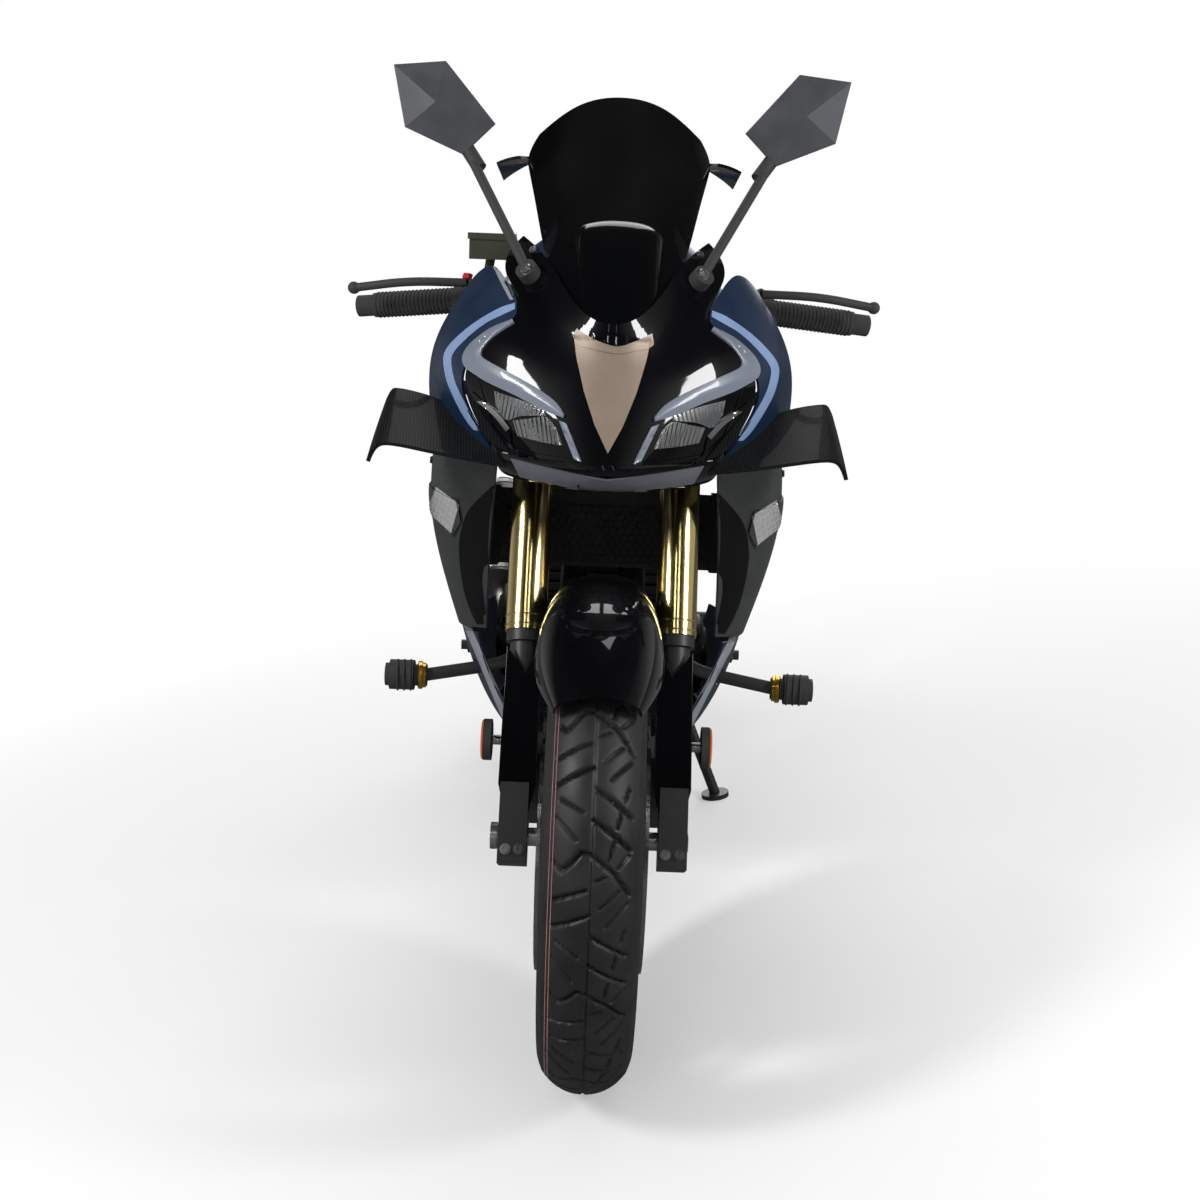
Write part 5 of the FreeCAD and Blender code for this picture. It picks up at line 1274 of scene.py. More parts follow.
@dataclass(frozen=True)
class Cushion:
    """A stuffed seat, blown up from its solid, with a sewn seam along each side."""

    node: str
    seam: tuple[Pair, ...]
    voxel: float = 0.006
    shrink: float = 0.003
    cap: float = 0.007
    fill: float = 0.7
    floor_share: float = -0.2
    pressure: float = 4.0
    last_frame: int = 20
    piping: float = 1.7
    piping_sink: float = 0.4
    above: float = 1400.0

    def blown(self, made: bpy.types.Object) -> None:
        """Swells the cover with pressure, held along its base.

        Args:
            made: the cover.
        """
        mesh = made.data
        start = np.array([vertex.co[:] for vertex in mesh.vertices])
        held = made.vertex_groups.new(name="held")
        low = [vertex.index for vertex in mesh.vertices if vertex.normal.z < self.floor_share]
        held.add(low, 1.0, "REPLACE")
        cloth = made.modifiers.new("cover", "CLOTH")
        cloth.settings.use_pressure = True
        cloth.settings.uniform_pressure_force = self.pressure
        cloth.settings.vertex_group_mass = "held"
        cloth.settings.effector_weights.gravity = 0
        for frame_number in range(1, self.last_frame + 1):
            bpy.context.scene.frame_set(frame_number)
        after = made.evaluated_get(bpy.context.evaluated_depsgraph_get()).data
        end = np.array([vertex.co[:] for vertex in after.vertices])
        move = end - start
        length = np.linalg.norm(move, axis=1)[:, None]
        end = start + move * np.minimum(1.0, self.cap / np.maximum(length, 1e-9))
        made.modifiers.clear()
        made.vertex_groups.clear()
        bpy.context.scene.frame_set(1)
        mesh.vertices.foreach_set("co", end.ravel())
        mesh.update()

    def build(self) -> None:
        """Makes the cushion and sews a seam along each side."""
        source = frame["nodes"][self.node]
        made = put(f"{self.node}_cushion", source.data.copy())
        made.matrix_world = source.matrix_world.copy()
        remesh = made.modifiers.new("even", "REMESH")
        remesh.mode = "VOXEL"
        remesh.voxel_size = self.voxel
        bpy.context.view_layer.update()
        even = bpy.data.meshes.new_from_object(made.evaluated_get(bpy.context.evaluated_depsgraph_get()))
        made.modifiers.clear()
        made.data = even
        smaller = np.array([(vertex.co - vertex.normal * self.shrink)[:] for vertex in even.vertices])
        even.vertices.foreach_set("co", smaller.ravel())
        even.update()
        self.blown(made)
        even.materials.clear()
        even.materials.append(VINYL.material())
        even.shade_smooth()
        smoothing = made.modifiers.new("smooth", "SUBSURF")
        smoothing.levels = smoothing.render_levels = 1
        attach(made, Body.CHASSIS.value)
        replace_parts(made, self.node)
        top = BVHTree.FromPolygons([UPRIGHT @ (made.matrix_world @ vertex.co) for vertex in even.vertices],
                                   [tuple(polygon.vertices) for polygon in even.polygons])
        stitched = Shape()
        for side in (-1, 1):
            path = []
            for spot in flowing([(side * x, y) for x, y in self.seam], 40):
                found, facing, _, _ = top.ray_cast(Vector((spot.x, spot.y, self.above)), Vector((0, 0, -1)))
                if found is not None:
                    path.append(found - facing * self.piping_sink)
            stitched.rod(path, self.piping, 8)
        stitched.make(f"{self.node}_piping", Body.CHASSIS, "seat_vinyl", TRIM, angle=60)
        LOG.info("stuffed %s", self.node)


Relief = Callable[[float, float], float]


def crowned(height: float) -> Relief:
    """Gives a relief that is highest along the strip's middle."""
    return lambda along, across: height * math.sin(math.pi * across)


def fluted(height: float, waves: int) -> Relief:
    """Gives flutes that lie across the strip."""
    return lambda along, across: height * math.sin(waves * math.pi * along)


def dimpled(height: float, columns: int, rows: int) -> Relief:
    """Gives rows of small cells."""
    return lambda along, across: height * abs(
        math.sin(columns * math.pi * along) * math.sin(rows * math.pi * across)) ** 0.5


def blistered(height: float) -> Relief:
    """Gives a blister that stands up at its first line and runs out at its second and at both ends."""
    return lambda along, across: (
        height * (1 - abs(2 * along - 1) ** 5) * min(1.0, across / 0.10) ** 0.6 * (1 - across) ** 0.7)


@lru_cache(maxsize=None)
def skin_of(*nodes: str) -> Skin:
    """Gives the skin of some nodes, read once."""
    return Skin(*nodes)


@dataclass(frozen=True)
class Strip:
    """Trim between two lines of pixels, laid on the nodes that carry it on the image's left side.

    Its rise and sink are in millimetres.
    """

    nodes: tuple[str, ...]
    first: tuple[Pixel, ...]
    second: tuple[Pixel, ...]
    slot: str
    finish: Finish
    rise: float = 0.8
    sink: float = 1.5
    along: int = 48
    across: int = 4
    smooth: int = 0
    relief: Relief | None = None
    both: bool = True
    turn_passes: int = 3

    def find(self, pixel: Vector) -> tuple[Vector, Vector]:
        """Finds the skin under a pixel."""
        return skin_of(*self.nodes).seen(pixel)

    def found(self) -> list[list[tuple[Vector, Vector]]]:
        """Finds the skin under a net of pixels between the two lines.

        Returns:
            Rows of places with their outward directions, the places evened out along the strip.
        """
        lines = zip(flowing(self.first, self.along), flowing(self.second, self.along))
        found = [[self.find(a.lerp(b, j / (self.across - 1))) for j in range(self.across)] for a, b in lines]
        for _ in range(self.smooth):
            spots = [[entry[0] for entry in row] for row in found]
            for i in range(1, self.along - 1):
                found[i] = [(spots[i][j] * 0.5 + (spots[i - 1][j] + spots[i + 1][j]) * 0.25, found[i][j][1])
                            for j in range(self.across)]
        return found

    def average(self, facing: list[list[Vector]], i: int, j: int) -> Vector:
        """Averages a direction with those round it.

        Args:
            facing: rows of directions.
            i: the direction's row.
            j: its place in the row.

        Returns:
            The mean direction, of length one.
        """
        rows = [min(max(i + shift, 0), self.along - 1) for shift in (-1, 0, 1)]
        columns = [min(max(j + shift, 0), self.across - 1) for shift in (-1, 0, 1)]
        return sum((facing[row][column] for row in rows for column in columns), Vector()).normalized()

    def shape(self) -> Shape:
        """Builds the strip between a net above the skin and a net under it.

        Returns:
            Its closed shape.
        """
        found = self.found()
        facing = [[entry[1] for entry in row] for row in found]
        for _ in range(self.turn_passes):
            facing = [[self.average(facing, i, j) for j in range(self.across)] for i in range(self.along)]
        relief = self.relief or (lambda along, across: 0.0)
        over, under = [], []
        for i, row in enumerate(found):
            lift = [relief(i / (self.along - 1), j / (self.across - 1)) for j in range(self.across)]
            over.append([spot + facing[i][j] * (self.rise + lift[j]) for j, (spot, _) in enumerate(row)])
            under.append([spot - facing[i][j] * self.sink for j, (spot, _) in enumerate(row)])
        return Shape().solid(over, under)

    def build(self, name: str) -> None:
        """Makes the piece, with its mirror image where it is on both sides.

        Args:
            name: the piece's name.
        """
        shape = self.shape()
        if self.both:
            shape.both()
        shape.make(name, Body.CHASSIS, self.slot, self.finish, angle=40)


@dataclass(frozen=True)
class Wedge(Strip):
    """A strip that hangs free, further back the higher it is in the picture."""

    depth: float = 27.0
    slope: float = 0.56
    tip: float = 475.0

    def find(self, pixel: Vector) -> tuple[Vector, Vector]:
        """Finds the wedge's own surface under a pixel.

        Args:
            pixel: the place in the picture.

        Returns:
            The place and the direction toward the camera.
        """
        start, ahead = PHOTO.ray((pixel[0], pixel[1]))
        depth = self.depth + self.slope * (self.tip - pixel[1])
        return start + ahead * ((depth - start.y) / ahead.y), -ahead


LAMP_SKIN = ("headlights", "nose_cowl", "chin_panel", "side_cowl_right")
FLANK_SKIN = ("side_cowl_right", "nose_cowl")


@dataclass(frozen=True)
class Nose:
    """Lamps, stripes and trim that the photograph shows on the nose and flanks."""

    # The light blue line and the pale grey bevel along the upper cowl are painted highlights: lighter colours
    # in place of the light that the cowl's bevelled edge catches, the grey one on the image's left side only.
    cowl_line: Strip = Strip(
        FLANK_SKIN,
        ((515, 303), (508, 305), (500, 308), (486, 315.5), (470, 326), (455, 339), (446, 350), (443.5, 361),
         (447, 381), (456, 402), (466, 420), (474, 430)),
        ((515, 309), (500, 316), (487, 322.5), (474, 332), (461, 344), (453.5, 353), (451.5, 362), (455, 381),
         (464, 401), (473, 416.5), (483, 431)),
        "satin_blue", BLUE_BEVEL_HIGHLIGHT, rise=0.5)
    # Painted highlight on one side only: the lit bevel shown as grey.
    cowl_bevel: Strip = Strip(
        FLANK_SKIN,
        ((493, 266), (501, 283), (510, 300)),
        ((499, 262), (509, 279), (519, 299)),
        "satin_blue", GREY_EDGE_AND_HIGHLIGHT, rise=0.5, smooth=3, both=False)
    # The carbon wedge between each lamp and the end of the blue line.
    carbon_wedge: Wedge = Wedge(
        LAMP_SKIN,
        ((463, 383), (470, 405), (479, 425), (489, 441), (511, 456), (528, 476)),
        ((470, 378), (480, 396), (491, 412), (502, 424), (514, 446), (531, 472)),
        "carbon_look", CARBON, rise=0.0, sink=3.0, along=40, across=5)
    # Painted shade: a near-black strip laid on the inner edge of each mid cowl where the hollow there is
    # shaded.
    cowl_recess: Strip = Strip(
        ("mid_cowl_right",),
        ((492, 486), (470, 508), (462, 527), (459, 551), (464, 590), (474, 618), (484, 634)),
        tuple((495.5, row) for row in (486, 508, 527, 551, 590, 618, 634)),
        "black_trim", RECESS_SHADE, rise=0.5, along=60, across=6, smooth=3)
    # The milky light guides that frame each lamp.
    light_guide: Strip = Strip(
        LAMP_SKIN,
        ((513, 320), (495, 327), (480, 337), (470, 346), (464, 355), (463, 362), (465, 367), (486, 381),
         (513, 394), (536, 406), (549, 412.5), (563.5, 418)),
        ((514.5, 323), (494.6, 336), (486, 344.5), (480.5, 353), (481, 356), (484, 358.5), (493, 363.5),
         (509.6, 372.7), (527.8, 382.6), (546, 394), (557.6, 403.4), (564.3, 414)),
        "lamp_lens", GUIDE, rise=3.0, sink=3.0, along=72, across=6, smooth=6, relief=crowned(1.4))
    light_guide_end: Strip = Strip(
        LAMP_SKIN,
        ((559.3, 420.8), (575, 459)),
        ((566.8, 424), (581.7, 462)),
        "lamp_lens", GUIDE, rise=3.0, along=16)
    # Clear turn signals with rows of small cells.
    signal_lens: Strip = Strip(
        ("front_signals", "mid_cowl_right"),
        ((436.5, 487), (448, 495.5), (459.5, 504.5)),
        ((427, 512), (438.5, 521), (451.5, 533)),
        "clear_lens", SIGNAL, rise=1.0, sink=2.0, along=64, across=48, smooth=6, relief=dimpled(0.7, 6, 5))
    # Fluted reflectors and bright edges inside each lamp.
    reflector_upper: Strip = Strip(
        LAMP_SKIN,
        ((494.6, 391), (512.9, 397.5), (542.7, 409), (546, 413)),
        ((496.5, 406), (506, 419.5), (522, 416), (546, 415.6)),
        "lamp_lens", CHROME, rise=0.9, along=150, across=5, smooth=3, relief=fluted(0.6, 26))
    reflector_lower: Strip = Strip(
        LAMP_SKIN,
        ((512.9, 420.5), (530, 418.5), (546, 417), (556, 427)),
        ((517.8, 435.7), (536, 440.7), (550, 443.5), (562.6, 445.6)),
        "lamp_lens", CHROME, rise=0.9, along=150, across=5, smooth=3, relief=fluted(0.6, 22))
    lamp_edge: Strip = Strip(
        LAMP_SKIN,
        ((478, 401), (495, 416), (507, 431)),
        ((484, 401), (499, 413), (511, 428)),
        "lamp_lens", CHROME, rise=2.2, along=20)
    lamp_rim: Strip = Strip(
        LAMP_SKIN,
        ((470, 392.6), (481.4, 404), (506, 430.7), (517.8, 455.6), (588, 472)),
        ((473, 391.5), (484, 402), (509, 429), (520, 452.5), (586, 468.5)),
        "gloss_black", GLOSS_BLACK, rise=1.8, along=60)
    # The grey lip under the lamps, the bronze panel's crown, a gloss black strip that paints the shadow under
    # the screen's bubble along the panel's top edge, and the carbon strip beside the lamp.
    chin_lip: Strip = Strip(
        LAMP_SKIN,
        ((512, 458), (560, 470), (588, 476), (607.5, 479.5)),
        ((521, 476), (560, 484), (590, 491), (606, 493.5)),
        "matte_black", LIP_GREY, rise=2.4)
    panel_crown: Strip = Strip(
        ("nose_cowl", "nose_panel"),
        ((573.5, 336), (577, 329), (583, 326.5), (592, 333), (604, 341), (618, 345), (631, 342), (643, 334),
         (647, 330.5), (651, 332), (652.5, 338)),
        ((577, 345), (582, 347), (587, 348), (593, 349), (604, 352), (618, 354), (631, 352), (643, 350),
         (648, 349), (651, 347), (653.5, 345)),
        "satin_bronze", BRONZE, rise=1.2, sink=3.0, along=80, across=8, smooth=4, both=False)
    # Painted shadow: a gloss black strip where the screen's bubble shades the bronze panel's top.
    panel_lip: Strip = Strip(
        ("nose_panel", "nose_cowl"),
        ((577, 322), (598, 330), (618, 333), (636, 330), (654, 325)),
        ((578.5, 330), (598, 341), (618, 346.5), (636, 341), (652.5, 333)),
        "gloss_black", GLOSS_BLACK, rise=1.6, both=False)
    carbon_strip: Strip = Strip(
        ("winglets", "chin_panel", "side_cowl_right"),
        ((467, 397.5), (475, 415), (483, 430.7), (499.6, 449), (509.6, 453)),
        ((476.4, 399), (484, 409), (493, 419), (504, 436), (512.9, 450.6)),
        "carbon_look", CARBON, rise=1.0)
    # The raised lower part of the screen.
    screen_bubble: Strip = Strip(
        ("windscreen",),
        ((575, 233.5), (583, 226), (592, 223), (610, 221), (635, 222.8), (652, 228), (663, 236.5)),
        ((582, 316), (592, 322), (604, 328), (617.9, 330), (632, 328), (644, 323), (654, 315)),
        "smoked_screen", SCREEN, rise=0.4, sink=1.0, along=60, across=36, relief=blistered(9.0), both=False)
    # The grey edge of the belly pan.
    belly_edge: Strip = Strip(
        ("belly_cowl_right",),
        ((464, 626), (484, 674), (504, 722)),
        ((471, 626), (489, 668), (505, 705)),
        "satin_navy", GREY_EDGE_AND_HIGHLIGHT, rise=0.6)

    def build(self) -> None:
        """Lays every strip, each named as its field."""
        for entry in fields(self):
            getattr(self, entry.name).build(entry.name)


@dataclass(frozen=True)
class Cockpit:
    """Ribbed grips, switches and buttons, in the fork's own frame from the axle up."""

    bar_root: float = 112.0
    bar_length: float = 210.0
    bar_ahead: float = 2.0
    bar_sweep: float = 56.0
    bar_height: float = 690.0
    bar_rise: float = 2.0
    grip_start: float = 204.0
    grip_end: float = 314.0
    rib_margin: float = 6.0
    ribs: int = 20
    rib_radius: float = 16.1
    rib_thick: float = 1.0
    flanges: tuple[tuple[float, float], ...] = ((205.0, 14.0), (208.0, 13.8))
    flange_thick: float = 3.0
    kill_pixel: Pixel = (471, 266)
    kill_size: Point = (13, 9, 7)
    button_pixels: tuple[Pixel, ...] = ((735, 281), (728, 292))
    button_size: Point = (10, 7, 5)
    button_taper: float = 0.8

    def bar(self, across: float) -> Vector:
        """Gives a point on the left handlebar's middle line.

        Args:
            across: its distance from the bike's middle.

        Returns:
            The point in the upright bike.
        """
        share = (across - self.bar_root) / self.bar_length
        behind = self.bar_ahead + self.bar_sweep * share
        return STANCE.fork(across, behind, self.bar_height + self.bar_rise * share)

    def collar(self, shape: Shape, across: float, radius: float, thick: float, sides: int) -> None:
        """Adds a ring round the handlebar.

        Args:
            shape: the shape that it joins.
            across: its distance from the bike's middle.
            radius: from the bar's middle to the middle of its section.
            thick: its section's radius.
            sides: corners of its section.
        """
        shape.ring(self.bar(across), self.bar(across + 1) - self.bar(across), radius, thick, 28, sides)

    def grips(self) -> None:
        """Puts ribs and flanges round both grips."""
        shape = Shape()
        reach = self.grip_end - self.grip_start - 2 * self.rib_margin
        for i in range(self.ribs):
            spot = self.grip_start + self.rib_margin + reach * i / (self.ribs - 1)
            self.collar(shape, spot, self.rib_radius, self.rib_thick, 6)
        for spot, radius in self.flanges:
            self.collar(shape, spot, radius, self.flange_thick, 8)
        shape.both().make("grip_ribs", Body.STEERING, "grip_rubber", RUBBER, angle=50)

    def key(self, shape: Shape, pixel: Pixel, size: Point, rise: float) -> None:
        """Adds a small tapered key on a switch block.

        Args:
            shape: the shape that it joins.
            pixel: its place in the photograph.
            size: its width, height and depth.
            rise: how far its middle stands out.
        """
        spot, facing = skin_of("hand_controls").seen(pixel)
        shape.block(spot + facing * rise, size, facing.to_track_quat("Z", "Y").to_matrix(), self.button_taper)

    def switches(self) -> None:
        """Adds the red switch and the buttons on the switch blocks."""
        red = Shape()
        self.key(red, self.kill_pixel, self.kill_size, 1.5)
        red.make("kill_switch", Body.STEERING, "red_lens", RED_PLASTIC, bevel=1.2)
        buttons = Shape()
        for pixel in self.button_pixels:
            self.key(buttons, pixel, self.button_size, 1.0)
        buttons.make("switch_buttons", Body.STEERING, "black_trim", TRIM, bevel=1.0)

    def build(self) -> None:
        """Makes the cockpit's details."""
        self.grips()
        self.switches()


@dataclass(frozen=True)
class Radiator:
    """Honeycomb guard over the radiator's core."""

    cell: float = 10.5
    wide: float = 272.0
    low: float = 570.0
    high: float = 660.0
    wire: float = 0.9
    stand_off: float = 1.6
    before: float = -400.0

    def build(self) -> None:
        """Lays the guard on the core's front."""
        skin = skin_of("radiator")
        shape = Shape()
        side = self.cell / math.sqrt(3)
        ahead, lift = Vector((0, 1, 0)), Vector((0, self.stand_off, 0))
        turns = [math.radians(60 * k) for k in range(-1, 3)]
        for row in range(int((self.high - self.low) / (1.5 * side))):
            for column in range(int(self.wide / self.cell)):
                x = -self.wide / 2 + (column + 0.5 * (row % 2) + 0.5) * self.cell
                z = self.low + 1.5 * side * row
                corners = [(x + side * math.sin(a), self.before, z + side * math.cos(a)) for a in turns]
                spots = [skin.cast(Vector(corner), ahead)[0] - lift for corner in corners]
                for a, b in zip(spots, spots[1:]):
                    shape.rod((a, b), self.wire, 4)
        shape.make("radiator_guard", Body.CHASSIS, "radiator_black", CORE, angle=30)


@dataclass(frozen=True)
class Cover:
    """A stepped round cover with bolts on one side of the engine's case."""

    name: str
    side: Side
    y: float
    z: float
    radius: float
    bolts: int = 8
    bolt_inset: float = 8.0
    bolt_rise: float = 6.0
    bolt_radius: float = 4.0

    def profile(self) -> tuple[Pair, ...]:
        """Gives the radius and height of each step.

        Returns:
            The profile, from the rim to the middle.
        """
        steps = ((0, -2), (0, 4), (4, 8), (16, 9), (20, 14))
        hub = ((0.42, 17), (0.36, 13), (0.12, 13))
        rim = tuple((self.radius - inset, up) for inset, up in steps)
        return rim + tuple((self.radius * share, up) for share, up in hub)

    def build(self) -> None:
        """Makes the cover and its bolts."""
        out = Vector((self.side.value, 0, 0))
        spot, _ = skin_of("engine").side(self.y, self.z, self.side)
        cover = Shape().lathe(self.profile(), spot, out, 48)
        cover.make(self.name, Body.CHASSIS, "engine_casting", CASES, angle=30)
        bolts = Bolts(f"{self.name}_bolts", Body.CHASSIS)
        for i in range(self.bolts):
            turn = 2 * math.pi * (i + 0.5) / self.bolts
            shift = Vector((0, math.sin(turn), math.cos(turn))) * (self.radius - self.bolt_inset)
            bolts.add((spot + out * self.bolt_rise + shift, out), self.bolt_radius)
        bolts.build()


@dataclass(frozen=True)
class Engine:
    """Covers, fins and bolts that make the plain block read as an engine."""

    covers: tuple[Cover, ...] = (
        Cover("clutch_case", Side.RIGHT, 620, 396, 72),
        Cover("generator_case", Side.LEFT, 560, 384, 60),
    )
    fins: int = 9
    fin_size: Point = (208, 160, 3.2)
    fin_pitch: float = 16.5
    cylinder: Point = (0, 540, 540)
    cylinder_tilt: float = math.radians(14)

    def build(self) -> None:
        """Adds the covers and stacks the fins round the cylinder block."""
        for cover in self.covers:
            cover.build()
        tilt = Matrix.Rotation(self.cylinder_tilt, 3, "X")
        shape = Shape()
        for i in range(self.fins):
            rise = Vector((0, 0, self.fin_pitch * (i - (self.fins - 1) / 2)))
            shape.block(Vector(self.cylinder) + tilt @ rise, self.fin_size, tilt)
        shape.make("cylinder_fins", Body.CHASSIS, "engine_casting", CASES, bevel=0.8)


@dataclass(frozen=True)
class ChainPins:
    """Pins along the fixed chain loop."""

    front: Pair = (764.0, 400.0)
    rear: Pair = STANCE.rear_hub
    pitch: float = 15.875
    teeth: tuple[int, int] = (15, 43)
    plane: float = 84.0
    gap: float = 4.6
    reach: float = 8.2
    radius: float = 2.6

    def loop(self) -> list[Vector]:
        """Draws the chain's closed middle line round both sprockets.

        Returns:
            Its points, the last on the first.
        """
        radii = [self.pitch / (2 * math.sin(math.pi / count)) for count in self.teeth]
        front, rear = Vector((0, *self.front)), Vector((0, *self.rear))
        along = rear - front
        tilt = math.atan2(along.z, along.y)
        opened = math.acos((radii[0] - radii[1]) / along.length)
        loop = []
        for middle, radius, start, stop in ((rear, radii[1], tilt + opened, tilt - opened),
                                            (front, radii[0], tilt - opened, tilt + opened - 2 * math.pi)):
            steps = max(4, int(abs(stop - start) * radius / 4))
            turns = [start + (stop - start) * i / steps for i in range(steps + 1)]
            loop += [middle + Vector((0, math.cos(turn), math.sin(turn))) * radius for turn in turns]
        return [*loop, loop[0]]

    def build(self) -> None:
        """Sets the two heads of a pin at every pitch."""
        loop = self.loop()
        reach = np.concatenate([[0], np.cumsum([(b - a).length for a, b in zip(loop, loop[1:])])])
        count = round(reach[-1] / self.pitch)
        shape = Shape()
        for i in range(count):
            spot = along_path(loop, reach, reach[-1] * i / count)
            for side in Side:
                out = Vector((side.value, 0, 0))
                start = spot + Vector((self.plane, 0, 0)) + out * self.gap
                shape.lathe(((self.radius, 0), (self.radius, self.reach - self.gap)), start, out, 8)
        shape.make("chain_pins", Body.CHASSIS, "chain_steel", OILED, angle=40)


@dataclass(frozen=True)
class MirrorBolts:
    """Bright bolts that hold the mirrors, placed by pixels of the photograph."""

    bolts: tuple[tuple[Pixel, float], ...] = (
        ((526.5, 270), 6.4), ((533, 250), 4.4), ((703, 275), 6.4), ((700, 255), 4.4),
    )
    washer: float = 1.1

    def build(self) -> None:
        """Sets the bolts."""
        skin = skin_of("mirrors", "windscreen", "nose_cowl")
        bolts = Bolts("mirror_bolts", Body.CHASSIS)
        for pixel, radius in self.bolts:
            bolts.add(skin.seen(pixel), radius, self.washer)
        bolts.build()


@dataclass(frozen=True)
class ForkTrim:
    """Bolts, rings, caps, guards and reflectors on the fork, in its own frame from the axle up."""

    foot_pixels: tuple[Pixel, ...] = ((505, 849), (519, 849))
    foot_bolt: float = 5.2
    leg_across: float = 92.0
    ring_heights: tuple[float, ...] = (256, 268, 480, 700)
    ring_radius: float = 25.4
    ring_thick: float = 1.1
    cap_height: float = 704.0
    cap_profile: tuple[Pair, ...] = ((20, 0), (20, 4), (17, 6), (9, 6), (8, 3))
    guard_outline: tuple[Pair, ...] = (
        (70, 236), (90, 196), (113, 228), (115, 60), (106, 24), (78, 24), (70, 60),
    )
    guard_planes: tuple[float, float] = (-25, -21)
    reflector_height: float = 115.0
    reflector_profile: tuple[Pair, ...] = ((24, -0.5), (24, 1.6), (22, 2.4))
    stem_start: float = 110.0
    stem_radius: float = 6.0
    stem_short: float = 8.0

    def feet(self) -> None:
        """Sets pinch bolts on both feet, from the foot that the pixels show."""
        bolts = Bolts("foot_bolts", Body.STEERING)
        for pixel in self.foot_pixels:
            spot, facing = skin_of("fork_legs").seen(pixel)
            for side in Side:
                flip = Vector((side.value, 1, 1))
                bolts.add((spot * flip, facing * flip), self.foot_bolt)
        bolts.build()

    def tubes(self) -> None:
        """Puts rings and caps on the tubes."""
        up = STANCE.fork_up()
        rings = Shape()
        for height in self.ring_heights:
            rings.ring(STANCE.fork(self.leg_across, 0, height), up, self.ring_radius, self.ring_thick, 40, 6)
        rings.both().make("fork_rings", Body.STEERING, "gold_tube", GOLD, angle=60)
        caps = Shape().lathe(self.cap_profile, STANCE.fork(self.leg_across, 0, self.cap_height), up, 24)
        caps.both().make("fork_caps", Body.STEERING, "axle_steel", STEEL, angle=30)

    def guards(self) -> None:
        """Puts gloss guards in front of the legs."""
        faces = [[STANCE.fork(x, ahead, up) for x, up in self.guard_outline] for ahead in self.guard_planes]
        Shape().loft(faces).both().make("fork_guards", Body.STEERING, "gloss_black", GLOSS_BLACK, bevel=1.2)

    def reflectors(self) -> None:
        """Puts amber faces on the reflectors, and stems between them and the legs."""
        place = STANCE.fork(0, 0, self.reflector_height)
        spot, _ = skin_of("fork_reflectors").side(place.y, place.z, Side.LEFT)
        faces = Shape().lathe(self.reflector_profile, spot, Vector((1, 0, 0)), 40)
        faces.both().make("reflector_faces", Body.STEERING, "black_trim", AMBER, angle=30)
        ends = (STANCE.fork(self.stem_start, 0, self.reflector_height),
                Vector((spot.x - self.stem_short, place.y, place.z)))
        stems = Shape().rod(ends, self.stem_radius, 20)
        stems.both().make("reflector_stems", Body.STEERING, "axle_steel", STEEL, angle=40)

    def build(self) -> None:
        """Makes them all."""
        self.feet()
        self.tubes()
        self.guards()
        self.reflectors()


@dataclass(frozen=True)
class Sliders:
    """Gold collars and rubber ribs on the crash bobbins."""

    root: Point = (246, 362, 388)
    direction: Point = (12, -1, 0)
    seat: float = 5.0
    collar_profile: tuple[Pair, ...] = ((15, 0), (17.5, 1.5), (17.5, 5), (19.5, 6), (19.5, 11), (17, 12.4))
    rib_start: float = 22.0
    rib_pitch: float = 9.0
    ribs: int = 3
    rib_radius: float = 21.2
    rib_thick: float = 1.3

    def build(self) -> None:
        """Makes the collars and the ribs."""
        out = Vector(self.direction).normalized()
        start = Vector(self.root) - out * self.seat
        collars = Shape().lathe(self.collar_profile, start, out, 32)
        collars.both().make("slider_collars", Body.CHASSIS, "gold_tube", GOLD_COLLAR, angle=30)
        ribs = Shape()
        for i in range(self.ribs):
            middle = start + out * (self.rib_start + self.rib_pitch * i)
            ribs.ring(middle, out, self.rib_radius, self.rib_thick, 36, 8)
        ribs.both().make("slider_ribs", Body.CHASSIS, "black_trim", RUBBER, angle=60)


@dataclass(frozen=True)
class LowerBolts:
    """Bolts under the radiator and on the front calipers."""

    engine_pixels: tuple[Pixel, ...] = ((577, 568), (625, 571))
    engine_bolt: float = 6.5
    caliper_shifts: tuple[Pair, ...] = ((18, 26), (-8, -30))
    caliper_bolt: float = 5.0

    def build(self) -> None:
        """Sets both groups."""
        bolts = Bolts("engine_bolts", Body.CHASSIS)
        for pixel in self.engine_pixels:
            bolts.add(skin_of("engine", "radiator").seen(pixel), self.engine_bolt)
        bolts.build()
        calipers = Bolts("caliper_bolts", Body.STEERING)
        skin = skin_of("front_calipers")
        middle = sum(skin.points, Vector()) / len(skin.points)
        for side in Side:
            for behind, above in self.caliper_shifts:
                calipers.add(skin.side(middle.y + behind, middle.z + above, side), self.caliper_bolt)
        calipers.build()


@dataclass(frozen=True)
class SilencerBands:
    """Triple bands round the silencer, and the ring round its outlet."""

    start: Point = (-186, 1064, 354)
    end: Point = (-204, 1390, 470)
    places: tuple[float, ...] = (0.03, 0.50, 0.97)
    shifts: tuple[float, ...] = (0, 4, 8)
    radius: float = 52.0
    thick: float = 1.6
    outlet_beyond: float = 39.0
    outlet_radius: float = 33.0
    outlet_thick: float = 2.4

    def build(self) -> None:
        """Makes the bands."""
        start, end = Vector(self.start), Vector(self.end)
        along = end - start
        bands = Shape()
        for share in self.places:
            for shift in self.shifts:
                middle = start.lerp(end, share) + along.normalized() * shift
                bands.ring(middle, along, self.radius, self.thick, 64, 8)
        outlet = end + along.normalized() * self.outlet_beyond
        bands.ring(outlet, along, self.outlet_radius, self.outlet_thick, 48, 8)
        bands.make("silencer_bands", Body.CHASSIS, "muffler_steel", STEEL, angle=60)


